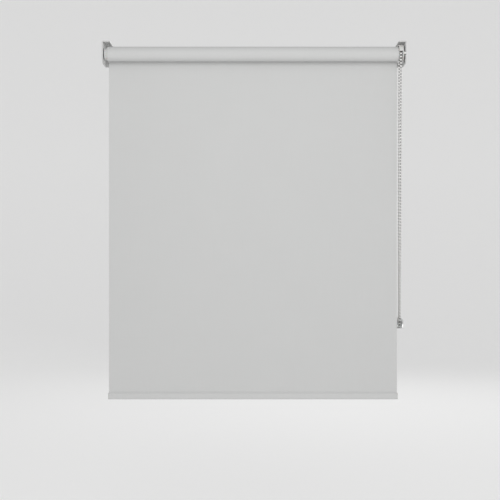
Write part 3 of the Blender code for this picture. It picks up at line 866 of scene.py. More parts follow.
    @staticmethod
    def fit(
        piece: Piece,
        body: str,
        material: Material,
        slot: str,
        *nodes: str,
    ) -> Piece:
        """Dresses a piece, hangs it on its body and hides the frame's nodes that it stands for.

        Args:
            piece: The finished piece.
            body: The body that it rides on.
            material: Its material.
            slot: The record's material slot. Not used.
            nodes: The frame's nodes that it stands for.

        Returns:
            The piece.
        """
        if piece.data.materials:
            piece.data.materials.clear()
        piece.data.materials.append(material)
        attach(piece, body)
        if nodes:
            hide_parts(*nodes)
        log.info("%s on %s for %s", piece.name, body, ", ".join(nodes) or "itself")
        return piece

    @staticmethod
    def dress_node(node: str, material: Material) -> None:
        """Gives one of the frame's own nodes a finished material.

        Args:
            node: The node's name.
            material: Its material.
        """
        for place in frame["nodes"][node].material_slots:
            place.material = material
        log.info("%s dressed", node)


@dataclass
class SubAssembly:
    """A part of the scene that is made and dressed by itself."""

    finishes: Finishes


def joint(name: str) -> dict[str, Any]:
    """Returns what the record says of a joint."""
    joints = frame["record"]["behaviour"]["joints"]
    return next(one for one in joints if one["name"] == name)


def joint_point(name: str) -> Vector:
    """Returns a point on a joint's axis."""
    return Vector(joint(name)["pos_m"])


# ---------------------------------------------------------------- chain


@dataclass
class ChainRun(SubAssembly):
    """The endless bead chain: hollow beads on short wire links, round the wheel and the pulley."""

    bead_diameter: float = 0.0045
    bead_pitch: float = 0.006
    beads: int = 187
    link_diameter: float = 0.0013
    wheel_pockets: int = 14
    wheel_half_width: float = 0.00315
    pulley_pitch_radius: float = 0.009
    sides: int = 14
    bead_rings: int = 11
    neck_turn: float = math.radians(40)
    guard_mouth: tuple[float, float, float] = (0.0, -0.0134, 0.0035)

    def __post_init__(self) -> None:
        """Works out the route's tangent lines."""
        self.wheel = joint_point("roller_turn")
        self.wheel.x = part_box("chain_sprocket")[1].x - self.wheel_half_width
        self.pulley = joint_point("pulley_turn")
        self.wheel_radius = self.wheel_pockets * self.bead_pitch / math.tau
        apart = self.pulley - self.wheel
        away = math.atan2(apart.z, apart.y)
        drop = math.hypot(apart.y, apart.z)
        lean = math.asin((self.wheel_radius - self.pulley_pitch_radius) / drop)
        self.front = away - math.pi / 2 + lean + math.tau
        self.back = away + math.pi / 2 - lean + math.tau
        self.top = away + math.pi
        self.spans = self._spans()
        self.length = sum(span[0] for span in self.spans)

    def _spans(self) -> list[Span]:
        """The route in order from the top of the wheel.

        Returns:
            Each stretch's length, and what gives its point and direction at a share of it.
        """

        def bend(centre: Vector, radius: float, start: float, end: float) -> Span:
            """A stretch round a wheel.

            Args:
                centre: The wheel's middle.
                radius: The chain's radius round it.
                start: The first angle, from +Y towards +Z.
                end: The last angle.

            Returns:
                Its length, and what gives a place on it.
            """

            def at(share: float) -> tuple[Vector, Vector]:
                """A place on the arc.

                Args:
                    share: How far along the arc.

                Returns:
                    The point and the direction there.
                """
                angle = start + (end - start) * share
                out = Vector((0.0, math.cos(angle), math.sin(angle)))
                return centre + out * radius, Vector((0.0, -out.z, out.y))

            return radius * (end - start), at

        def straight(start: Vector, end: Vector) -> Span:
            """A taut run between two wheels.

            Args:
                start: Where it leaves one wheel.
                end: Where it meets the other.

            Returns:
                Its length, and what gives a place on it.
            """

            def at(share: float) -> tuple[Vector, Vector]:
                """Returns the point and direction at a share of the run."""
                return start.lerp(end, share), (end - start).normalized()

            return (end - start).length, at

        over = bend(self.wheel, self.wheel_radius, self.top, self.front)
        turn = bend(self.pulley, self.pulley_pitch_radius, self.front, self.back)
        up = bend(self.wheel, self.wheel_radius, self.back, self.top + math.tau)
        down = straight(over[1](1.0)[0], turn[1](0.0)[0])
        rise = straight(turn[1](1.0)[0], up[1](0.0)[0])
        return [over, down, turn, rise, up]

    def at(self, distance: float) -> tuple[Vector, Vector]:
        """A place on the route.

        Args:
            distance: How far along the chain from the top of the wheel.

        Returns:
            The point and the chain's direction there.
        """
        left = distance % self.length
        for length, place in self.spans:
            if left <= length:
                return place(left / length)
            left -= length
        return self.spans[-1][1](1.0)

    def build(self) -> None:
        pitch = self.length / self.beads
        radius = self.bead_diameter / 2
        mouth = math.asin(self.link_diameter / self.bead_diameter)
        open_turn = (math.pi - 2 * self.neck_turn) / (self.bead_rings - 3)
        turns = [self.neck_turn + open_turn * i for i in range(self.bead_rings - 2)]
        rings, path = [], []
        # Band 1 puts the near-black link material on each bead's end caps round the wire hole and
        # on its link: painted shade between the beads.
        bands = [1, *[0] * (self.bead_rings - 3), 1, 1] * self.beads
        for bead in range(self.beads):
            centre, heading = self.at((bead + 0.5) * pitch)
            across = (Vector((1, 0, 0)) - heading * heading.x).normalized()
            upright = heading.cross(across)
            path += [self.at(bead * pitch)[0], centre]
            for turn in (mouth, *turns, math.pi - mouth):
                middle = centre - heading * (radius * math.cos(turn))
                rings.append(hoop(middle, across, upright, radius * math.sin(turn), self.sides))
        path.append(self.at(0.0)[0])
        chain = Bench.loft("ball_chain", rings, closed=True, bands=bands)
        Bench.fit(chain, "root", self.finishes.nickel, "nickel_plate", "bead_chain")
        # Second slot: the link material, painted shade.
        chain.data.materials.append(self.finishes.link)


# ---------------------------------------------------------------- cloth


@dataclass
class WoundCloth(SubAssembly):
    """The cloth on the tube, and the last quarter turn from which the hanging cloth leaves."""

    thickness: float = 0.00045
    layer_pitch: float = 0.00047
    outer_radius: float = 0.01430
    lead_radius: float = 0.01440
    layers: float = 2.9
    feather: float = math.radians(80)
    lead_turn: float = math.radians(110)
    lead_edge: float = 0.00004
    tab: float = 0.0015
    unevenness: float = 0.000045
    slack_along: float = 14.0
    slack_round: float = 1.3
    feather_edge: float = 0.1
    columns: int = 28
    step: float = math.radians(5)

    def __post_init__(self) -> None:
        """Reads where the cloth lies."""
        self.axis = joint_point("roller_turn")
        low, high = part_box("fabric_roll")
        self.xs = [low.x + (high.x - low.x) * i / self.columns for i in range(self.columns + 1)]

    def uneven(self, x: float, angle: float) -> float:
        """Returns how far slack in the layers lifts the wound cloth at a place."""
        spot = (math.cos(angle) * self.slack_round, math.sin(angle) * self.slack_round)
        return self.unevenness * noise.noise(Vector((x * self.slack_along, *spot)))

    def row(self, angle: float, radius: float) -> list[Vector]:
        """A line of points across the cloth.

        Args:
            angle: Where it lies round the axis, from +Y towards +Z.
            radius: How far from the axis it lies, without the slack.

        Returns:
            The points, from left to right.
        """
        points = []
        for x in self.xs:
            reach = radius + self.uneven(x, angle)
            y, z = self.axis.y + reach * math.cos(angle), self.axis.z + reach * math.sin(angle)
            points.append(Vector((x, y, z)))
        return points

    def build(self) -> Piece:
        """Makes both pieces.

        Returns:
            The piece that leads to the hanging cloth.
        """
        outer, inner = [], []
        for i in range(round(math.tau * self.layers / self.step) + 1):
            angle = i * self.step
            under = self.outer_radius - self.thickness - self.layer_pitch * angle / math.tau
            full = self.feather_edge + (1 - self.feather_edge) * min(1.0, angle / self.feather)
            outer.append(self.row(angle, under + self.thickness * full))
            inner.append(self.row(angle, under))
        roll = slab("wound_cloth", outer, inner)
        Bench.fit(roll, "roller", self.finishes.wound_cloth, "blind_fabric", "fabric_roll")

        outer, inner = [], []
        for height, inset in ((-self.tab, self.lead_edge), (0.0, self.lead_edge)):
            for rows, radius in ((outer, self.thickness - inset), (inner, inset)):
                y = self.axis.y + self.lead_radius + radius
                rows.append([Vector((x, y, self.axis.z + height)) for x in self.xs])
        steps = round(self.lead_turn / self.step)
        for i in range(steps + 1):
            angle = i * self.step
            share = i / steps
            under = self.lead_radius - self.layer_pitch * angle / math.tau
            ease = smooth(share)
            thickness = self.thickness * (1 - ease) + self.lead_edge * ease
            outer.append(self.row(angle, under + thickness))
            inner.append(self.row(angle, under))
        lead = slab("cloth_lead", outer, inner)
        Bench.fit(lead, "root", self.finishes.wound_cloth, "blind_fabric")
        return lead


@dataclass
class HangingCloth(SubAssembly):
    """The cloth between the roll and the hem: cut true, with a faint ripple and edge curl."""

    thickness: float = 0.00045
    ripple: float = 0.0005
    curl: float = 0.0003
    still_top: float = 0.035
    still_bottom: float = 0.020
    weld_lap: float = 0.0008
    broad_waves: tuple[float, float, float] = (7.0, 2.6, 4.2)
    small_waves: tuple[float, float, float] = (19.0, 5.0, 9.1)
    small_share: float = 0.4
    curl_power: int = 14
    columns: int = 110
    rows: int = 130

    def __post_init__(self) -> None:
        """Reads where the cloth hangs, and how far the hem rises."""
        self.low, self.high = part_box("fabric_sheet")
        self.low.z -= self.weld_lap
        self.lift = joint("hem_lift")["range_m"][1]

    def sway(self, x: float, z: float) -> float:
        """How far the cloth stands from its plane.

        Args:
            x: The place's X.
            z: Its Z.

        Returns:
            The distance towards the window.
        """
        top = min(1.0, (self.high.z - z) / self.still_top)
        bottom = min(1.0, (z - self.low.z) / self.still_bottom)
        broad, small = (
            noise.noise(Vector((x * across, z * down, layer)))
            for across, down, layer in (self.broad_waves, self.small_waves)
        )
        half = (self.high.x - self.low.x) / 2
        edge = abs(x - (self.high.x + self.low.x) / 2) / half
        wave = broad + self.small_share * small
        calm = smooth(top) * smooth(bottom)
        return calm * (self.ripple * wave - self.curl * edge**self.curl_power)

    def build(self, lead: Piece, hem: Piece) -> None:
        """Args:
            lead: The wound piece that it leaves. Not used.
            hem: The pocket that it ends in. Not used.
        """
        front, back = [], []
        middle = (self.low.y + self.high.y) / 2
        for i in range(self.rows + 1):
            z = self.high.z + (self.low.z - self.high.z) * i / self.rows
            near, far = [], []
            for j in range(self.columns + 1):
                x = self.low.x + (self.high.x - self.low.x) * j / self.columns
                y = middle + self.sway(x, z)
                near.append(Vector((x, y - self.thickness / 2, z)))
                far.append(Vector((x, y + self.thickness / 2, z)))
            front.append(near)
            back.append(far)
        cloth = slab("hanging_cloth", front, back)
        Bench.fit(cloth, "root", self.finishes.cloth, "blind_fabric", "fabric_sheet")
        length = self.high.z - self.low.z
        (length - self.lift) / length
        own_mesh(cloth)


def slab(
    name: str, front: Sequence[Sequence[Vector]], back: Sequence[Sequence[Vector]]
) -> Piece:
    """A closed sheet between two equal grids of points.

    Args:
        name: The new object's name.
        front: Rows of points on one face.
        back: The matching rows on the other.

    Returns:
        The object.
    """
    shape = bmesh.new()
    faces = [[[shape.verts.new(point) for point in row] for row in grid] for grid in (front, back)]
    last_row, last_column = len(front) - 1, len(front[0]) - 1
    for grid in faces:
        for i in range(last_row):
            for j in range(last_column):
                shape.faces.new((grid[i][j], grid[i][j + 1], grid[i + 1][j + 1], grid[i + 1][j]))
    rim = [(0, j) for j in range(last_column)] + [(i, last_column) for i in range(last_row)]
    rim += [(last_row, j) for j in range(last_column, 0, -1)]
    rim += [(i, 0) for i in range(last_row, 0, -1)]
    for (i, j), (k, m) in zip(rim, rim[1:] + rim[:1]):
        shape.faces.new((faces[0][i][j], faces[0][k][m], faces[1][k][m], faces[1][i][j]))
    return Bench.finish(name, shape)


@dataclass
class HemRail(SubAssembly):
    """The bottom rail: a welded pocket round a flat bar, with a moulded cap at each end."""

    height: float = 0.013
    depth: float = 0.0064
    roundness: float = 0.48
    corner_steps: int = 8
    wall: float = 0.0009
    weld: float = 0.0011
    weld_height: float = 0.0017
    weld_foot: float = 0.0009
    weld_pitch: float = 0.003
    weld_depth: float = 0.00016
    weld_soft: float = 0.00015
    slack: float = 0.00012
    cap_inset: float = 0.0057
    cap_edge: float = 0.0005
    cap_over: float = 0.0002
    cap_dish: float = 0.0002
    cap_play: float = 0.0003
    cap_lead_in: float = 0.0004
    cap_gap: float = 0.0002
    cap_steps: int = 5
    taut_points: tuple[float, float, float] = (0.3, 0.6, 0.85)

    def __post_init__(self) -> None:
        """Reads where the rail hangs."""
        self.low, self.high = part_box("hem_pocket")
        self.centre = (self.low + self.high) / 2
        self.centre.z = self.low.z + self.height / 2

    def section(self, shrink: float) -> list[Point]:
        """The rail's flat oval section.

        Args:
            shrink: How much smaller it is all round.

        Returns:
            The outline.
        """
        width, height = self.depth - 2 * shrink, self.height - 2 * shrink
        middle = (self.centre.y, self.centre.z)
        return rounded_box(middle, width, height, width * self.roundness, self.corner_steps)

    def pocket_section(self, squeeze: float) -> list[Point]:
        """The pocket's outer section, its sides drawn up taut from the bar to the weld.

        Args:
            squeeze: How far the weld presses each side in at this place.

        Returns:
            The outline.
        """
        half = self.weld / 2
        radius = self.depth * self.roundness
        top = self.height / 2
        centre = Vector((self.depth / 2 - radius, top - radius))
        foot = Vector((half, top + self.weld_foot))
        away = foot - centre
        lean = math.acos(radius / away.length)
        contact = math.atan2(away.y, away.x) - lean
        side = arc(centre, radius, 0.0, contact, self.corner_steps)
        meet = Vector(side[-1])
        out = Vector((math.cos(contact), math.sin(contact)))
        for share in self.taut_points:
            sag = self.slack * 4 * share * (1 - share)
            side.append(tuple(meet.lerp(foot, share) - out * sag))
        tip, soft = top + self.weld_height, self.weld_soft
        side += [tuple(foot), (half - squeeze, foot.y + soft), (half - squeeze, tip - 2 * soft)]
        side += [(half, tip - soft), (half - soft, tip)]
        under = [p for p in self.section(0.0) if p[1] < self.centre.z]
        right = [(self.centre.y + y, self.centre.z + z) for y, z in side]
        left = [(self.centre.y - y, self.centre.z + z) for y, z in reversed(side)]
        return [*right, *left, *under]

    def build(self) -> Piece:
        """Makes the pocket and both caps.

        Returns:
            The pocket.
        """
        count = round((self.high.x - self.low.x) / self.weld_pitch)
        outer = []
        for i in range(2 * count + 1):
            x = self.low.x + (self.high.x - self.low.x) * i / (2 * count)
            press = self.weld_depth if i % 2 else 0.0
            outer.append(Along.X.lift(self.pocket_section(press), x))
        bore = self.bore_rings(len(outer[0]))
        pocket = Bench.loft("hem_fold", [*outer, *bore], closed=True)
        Bench.fit(pocket, "hem", self.finishes.cloth, "blind_fabric", "hem_pocket")
        for side in Side:
            self.cap(side)
        Bench.dress_node("hem_bar", self.finishes.aluminium)
        return pocket

    def bore_rings(self, count: int) -> list[list[Point]]:
        """The pocket's inside.

        Args:
            count: How many points the outside has round it.

        Returns:
            A ring of as many points at each end, from right to left.
        """
        spots = [Vector(p) for p in self.section(self.wall)]
        sides = list(zip(spots, [*spots[1:], spots[0]]))
        lengths = [(end - start).length for start, end in sides]
        ring = []
        for i in range(count):
            left, k = sum(lengths) * i / count, 0
            while left > lengths[k]:
                left -= lengths[k]
                k += 1
            ring.append(sides[k][0].lerp(sides[k][1], left / lengths[k]))
        return [Along.X.lift(ring, x) for x in (self.high.x, self.low.x)]

    def cap(self, side: Side) -> None:
        """Makes one end cap: a stub inside the pocket and a soft-edged face.

        Args:
            side: The end that it closes.
        """
        sign, right = side.value, side is Side.DRIVE
        edge = self.high.x if right else self.low.x
        node = "hem_cap_right" if right else "hem_cap_left"
        low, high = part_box(node)
        face = high.x if right else low.x
        stub = self.wall + self.cap_play
        rings = [
            (stub + self.cap_lead_in, edge - sign * self.cap_inset),
            (stub, edge - sign * (self.cap_inset - self.cap_lead_in)),
            (stub, edge + sign * self.cap_gap),
            (-self.cap_over, edge + sign * self.cap_gap),
        ]
        for shrink, inset in arc((1.0, 1.0), 1.0, math.pi, math.pi / 2, self.cap_steps):
            x = face + sign * self.cap_edge * (inset - 2)
            rings.append((self.cap_edge * shrink - self.cap_over, x))
        dish = self.depth / 4
        rings += [(dish, face), (dish + self.cap_dish, face - sign * self.cap_dish)]
        skin = [Along.X.lift(self.section(shrink), x) for shrink, x in rings]
        cap = Bench.loft(f"hem_end_{side.name.lower()}", skin)
        Bench.fit(cap, "hem", self.finishes.plastic, "white_plastic", node)


# ---------------------------------------------------------------- brackets


@dataclass
class WallBracket(SubAssembly):
    """A bent steel bracket: plate on the recess side, flanges at the top and the back."""

    side: Side
    sheet: float = 0.002
    inner_bend: float = 0.0012
    outer_bend: float = 0.0024
    nose: float = 0.016
    flange_corner: float = 0.004
    screw_hole: float = 0.0022
    screw_head: float = 0.0042
    screw_spacing: float = 0.022
    plate_hole_y: float = -0.0105
    relief_slit: float = 0.0005
    relief_reach: float = 0.0015
    relief_gap: float = 0.0004
    slot_half: float = 0.0025
    slot_end: float = -0.0297
    slot_lead_in: float = 0.0012
    pin_hole: float = 0.0026
    edge: float = 0.00028
    over: float = 0.001
    drill_over: float = 0.0006
    nearly: float = 1e-6
    hole_facets: int = 40
    nose_steps: int = 20
    slot_steps: int = 16
    corner_steps: int = 10
    outer_steps: int = 5
    inner_steps: int = 6

    def __post_init__(self) -> None:
        """Reads where the bracket stands."""
        self.node = "bracket_drive" if self.side is Side.DRIVE else "bracket_idle"
        self.low, self.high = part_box(self.node)
        self.axis = joint_point("roller_turn")
        sign = self.side.value
        self.outer = self.high.x if sign > 0 else self.low.x
        self.tip = self.low.x if sign > 0 else self.high.x
        self.inner = self.outer - sign * self.sheet

    def blank(self) -> Piece:
        """Makes the bent sheet: the outside with its two bends, hollowed by the room inside.

        Returns:
            The bracket without its holes.
        """
        low, high, sign = self.low, self.high, self.side.value
        middle = (low.y + self.nose, low.z + self.nose)
        nose = arc(middle, self.nose, math.pi, 1.5 * math.pi, self.nose_steps)
        outline = [(high.y, high.z), (low.y, high.z), *nose, (high.y, low.z)]
        name = f"plate_{self.side.name.lower()}"
        made = Bench.prism(name, outline, Along.X, self.tip, self.outer)
        shape = bmesh.new()
        shape.from_mesh(made.data)
        bends = []
        for edge in shape.edges:
            ends = [corner.co for corner in edge.verts]
            on_face = all(abs(end.x - self.outer) < self.nearly for end in ends)
            top = all(abs(end.z - high.z) < self.nearly for end in ends)
            back = all(abs(end.y - high.y) < self.nearly for end in ends)
            if on_face and (top or back):
                bends.append(edge)
        bmesh.ops.bevel(
            shape,
            geom=bends,
            offset=self.outer_bend,
            segments=self.outer_steps,
            profile=0.5,
            affect="EDGES",
        )
        shape.to_mesh(made.data)
        shape.free()
        width = abs(self.inner - self.tip) + self.sheet
        depth = high.y - low.y
        middle = (
            (self.inner + self.tip - sign * self.sheet) / 2,
            high.y - (self.sheet + depth + self.sheet) / 2,
        )
        room = rounded_box(middle, width, depth, self.inner_bend, self.inner_steps)
        hollow = Bench.prism("room", room, Along.Z, low.z - self.sheet, high.z - self.sheet)
        Bench.combine(made, hollow, Join.CUT)
        return made

    def corner(
        self, made: Piece, along: Along, level: float, spot: Point, out: Point
    ) -> None:
        """Rounds a flange's corner.

        Args:
            made: The bracket.
            along: The axis through the flange.
            level: The flange's outer face on that axis, always its highest point.
            spot: The corner, in the plane's two axes.
            out: The signs of the directions that lead away from the flange.
        """
        radius, over = self.flange_corner, self.over
        (cx, cy), (sx, sy) = spot, out
        outline = [(cx + sx * over, cy + sy * over), (cx - sx * radius, cy + sy * over)]
        for across, up in quarter(self.corner_steps):
            outline.append((cx - sx * radius * (1 - across), cy - sy * radius * up))
        outline.append((cx + sx * over, cy - sy * radius))
        cutter = Bench.prism("corner", outline, along, level - 2 * self.sheet, level + self.sheet)
        Bench.combine(made, cutter, Join.CUT)

    def drill(
        self, made: Piece, along: Along, spot: Point, level: float, outwards: int
    ) -> None:
        """Cuts a countersunk screw hole.

        Args:
            made: The bracket.
            along: The hole's axis.
            spot: The hole's centre in the plane's two axes.
            level: The sheet's inner face on the axis.
            outwards: The sign of the way to its outer face.
        """
        over = self.drill_over
        flare = (self.screw_head - self.screw_hole) / self.sheet * over
        steps = (
            (-over, self.screw_head + flare),
            (self.sheet, self.screw_hole),
            (self.sheet + over, self.screw_hole),
        )
        rings = [
            along.lift(circle(spot, radius, self.hole_facets), level + outwards * depth)
            for depth, radius in steps
        ]
        Bench.combine(made, Bench.loft("drill", rings), Join.CUT)

    def relieve(self, made: Piece) -> None:
        """Parts the two flanges by a slit at their shared corner.

        Args:
            made: The bracket.
        """
        high, sign = self.high, self.side.value
        half, over = self.relief_slit / 2, self.over
        far = self.sheet + self.relief_reach
        slit = [
            (high.y + over - half, high.z + over + half),
            (high.y - far - half, high.z - far + half),
            (high.y - far + half, high.z - far - half),
            (high.y + over + half, high.z + over - half),
        ]
        ends = sorted((self.tip - sign * over, self.inner - sign * self.relief_gap))
        Bench.combine(made, Bench.prism("slit", slit, Along.X, *ends), Join.CUT)

    def build(self) -> None:
        """Makes the bracket with its holes, and softens its edges."""
        low, high, sign = self.low, self.high, self.side.value
        made = self.blank()
        self.corner(made, Along.Z, high.z, (self.tip, low.y), (-sign, -1))
        self.corner(made, Along.Y, high.y, (self.tip, low.z), (-sign, -1))
        self.relieve(made)
        flange = self.outer - sign * (abs(self.outer - self.tip) + self.sheet) / 2
        for end in (-0.5, 0.5):
            across = (low.y + high.y) / 2 + end * self.screw_spacing
            down = (low.z + high.z) / 2 + end * self.screw_spacing
            self.drill(made, Along.Z, (flange, across), high.z - self.sheet, 1)
            self.drill(made, Along.Y, (flange, down), high.y - self.sheet, 1)
            plate_z = self.axis.z + end * self.screw_spacing
            self.drill(made, Along.X, (self.plate_hole_y, plate_z), self.inner, sign)
        self.open_seat(made)
        Bench.soften(made, self.edge, 2)
        Bench.fit(made, "root", self.finishes.coat, "painted_steel", self.node)

    def open_seat(self, made: Piece) -> None:
        """Cuts what holds the roller: the clutch's slot, or the pin's hole.

        Args:
            made: The bracket.
        """
        reach, lead_in = self.side.value * self.over, self.slot_lead_in
        if self.side is Side.DRIVE:
            end, turn = (self.slot_end, self.axis.z), math.pi / 2
            back = arc(end, self.slot_half, -turn, turn, self.slot_steps)
            front = self.low.y - self.over
            mouth = self.slot_half + lead_in + self.over
            outline = [
                (front, self.axis.z - mouth),
                (self.low.y + lead_in, self.axis.z - self.slot_half),
                *back,
                (self.low.y + lead_in, self.axis.z + self.slot_half),
                (front, self.axis.z + mouth),
            ]
        else:
            outline = circle((self.axis.y, self.axis.z), self.pin_hole, self.hole_facets)
        ends = sorted((self.inner - reach, self.outer + reach))
        Bench.combine(made, Bench.prism("seat", outline, Along.X, *ends), Join.CUT)


# ---------------------------------------------------------------- clutch


@dataclass
class Clutch(SubAssembly):
    """The chain-side end: fixed shaft and guard, and the chain wheel that drives the tube."""

    pockets: int = 14
    guard_facets: int = 96
    shaft_facets: int = 64
    lug_steps: int = 5
    bead: float = 0.0045
    bead_pitch: float = 0.006
    groove_half: float = 0.00255
    cheek: float = 0.0006
    rim_height: float = 0.0011
    scallop: float = 0.0016
    pocket_depth: float = 0.00045
    bore: float = 0.0053
    barrel: float = 0.0069
    bracket_sheet: float = 0.002
    hub: float = 0.005
    hub_bore: float = 0.0024
    boss: float = 0.007
    lug_half: float = 0.0022
    lug_front: float = -0.0515
    lug_back: float = -0.0300
    guard: float = 0.0178
    guard_wall: float = 0.0014
    guard_edge: float = 0.0002
    guard_round: float = 0.0005
    hood_step: float = 0.0006
    mouth: float = math.radians(12)
    rear: float = math.radians(172)
    gap: float = 0.0003
    rim_soft: float = 0.00025
    groove_wall: float = 0.0012
    groove_foot: float = 0.0005
    groove_rise: float = 0.0003
    groove_flat: float = 0.0009
    groove_sag: float = 0.0001
    pocket_facets: int = 8
    bore_edge: float = 0.0002
    shaft_edge: float = 0.0005
    boss_edge: float = 0.0004
    lug_corner: float = 0.0008
    lug_root: float = 0.0002
    edge: float = 0.0003
    hood_steps: int = 36

    def __post_init__(self) -> None:
        """Reads where the clutch sits."""
        self.axis = joint_point("roller_turn")
        self.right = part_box("chain_sprocket")[1].x
        self.left = self.right - 2 * (self.groove_half + self.cheek)
        self.pitch_radius = self.pockets * self.bead_pitch / math.tau

    def wheel(self, chain: ChainRun) -> None:
        """Makes the chain wheel, with a pocket under each bead.

        Args:
            chain: The chain, whose first bead lies half a pitch past the wheel's top.
        """
        groove = self.pitch_radius - self.bead / 2 - self.gap
        rim, soft = self.pitch_radius + self.rim_height, self.rim_soft
        inner = self.left + self.cheek
        middle = (inner + self.right - self.cheek) / 2
        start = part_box("chain_sprocket")[0].x
        sleeve = [(start, self.bore), (start, self.barrel - soft), (start + soft, self.barrel)]
        half = [
            (self.left, rim - soft, self.scallop),
            (self.left + soft, rim, self.scallop),
            (inner - soft * 0.4, rim, self.scallop),
            (inner, rim - soft, self.scallop),
            (inner, groove + self.groove_wall, 0.0),
            (inner + self.groove_foot, groove + self.groove_rise, self.pocket_depth * 0.3),
            (middle - self.groove_flat, groove, self.pocket_depth),
        ]
        profile = [*sleeve, (self.left, self.barrel), *half]
        profile.append((middle, groove - self.groove_sag, self.pocket_depth))
        profile += [*mirrored(half, middle), (self.right, self.bore)]
        phase = chain.top - math.pi / 2
        facets = self.pockets * self.pocket_facets
        wheel = Bench.turned("bead_wheel", profile, self.axis, facets, self.pockets, phase)
        Bench.fit(wheel, "roller", self.finishes.plastic, "white_plastic", "chain_sprocket")

    def shaft(self) -> None:
        """Makes the fixed shaft with its boss and the lug that drops into the bracket."""
        low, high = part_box("clutch_hub")
        guard_right = self.right + self.gap + self.guard_wall
        left = guard_right + self.gap
        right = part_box("bracket_drive")[1].x - self.bracket_sheet - self.gap
        hub, bore, boss, edge = self.hub, self.hub_bore, self.boss, self.boss_edge
        profile = [
            (low.x, bore + self.bore_edge), (low.x, hub - self.shaft_edge),
            (low.x + self.shaft_edge, hub), (left, hub), (left, boss - self.edge),
            (left + self.edge, boss), (right - edge, boss), (right, boss - edge),
            (right, bore + self.bore_edge), (right - edge, bore), (low.x + self.bore_edge, bore),
        ]
        made = Bench.turned("clutch_shaft", profile, self.axis, self.shaft_facets)
        middle = ((self.lug_front + self.lug_back) / 2, self.axis.z)
        length = self.lug_back - self.lug_front
        height = 2 * self.lug_half
        outline = rounded_box(middle, length, height, self.lug_corner, self.lug_steps)
        lug = Bench.prism("lug", outline, Along.X, left + self.lug_root, high.x)
        Bench.soften(lug, self.edge, 3)
        Bench.combine(made, lug, Join.ADD)
        Bench.fit(made, "root", self.finishes.plastic, "white_plastic", "clutch_hub")

    def guard_piece(self) -> None:
        """Makes the guard: a plate with a hood over the chain wheel."""
        left = self.right + self.gap
        right = left + self.guard_wall
        profile = [
            (left, self.bore),
            (left, self.guard - self.guard_edge),
            (left + self.guard_edge, self.guard),
            *mirrored(eased(right, self.guard, self.guard_round), right),
            (right, self.bore),
        ]
        made = Bench.turned("bead_guard", profile, self.axis, self.guard_facets)
        inner = self.pitch_radius + self.bead / 2 + 2 * self.gap
        outer = self.guard - self.guard_edge
        start, end = math.pi - self.mouth, math.pi - self.rear
        centre = (self.axis.y, self.axis.z)
        outline = arc(centre, outer, start, end, self.hood_steps)
        outline += arc(centre, inner, end, start, self.hood_steps)
        hood_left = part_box("chain_guard")[0].x
        hood = Bench.prism("hood", outline, Along.X, hood_left, right - self.hood_step)
        Bench.soften(hood, self.edge, 3)
        Bench.combine(made, hood, Join.ADD)
        Bench.fit(made, "root", self.finishes.plastic, "white_plastic", "chain_guard")

    def build(self, chain: ChainRun) -> None:
        """Makes and dresses the whole clutch.

        Args:
            chain: The chain that drives it.
        """
        self.wheel(chain)
        self.shaft()
        self.guard_piece()
        for node in ("drive_core", "hub_retainer"):
            Bench.dress_node(node, self.finishes.plastic)
        for node in ("wrap_spring_outer", "wrap_spring_inner"):
            Bench.dress_node(node, self.finishes.wire)


# ---------------------------------------------------------------- idle end


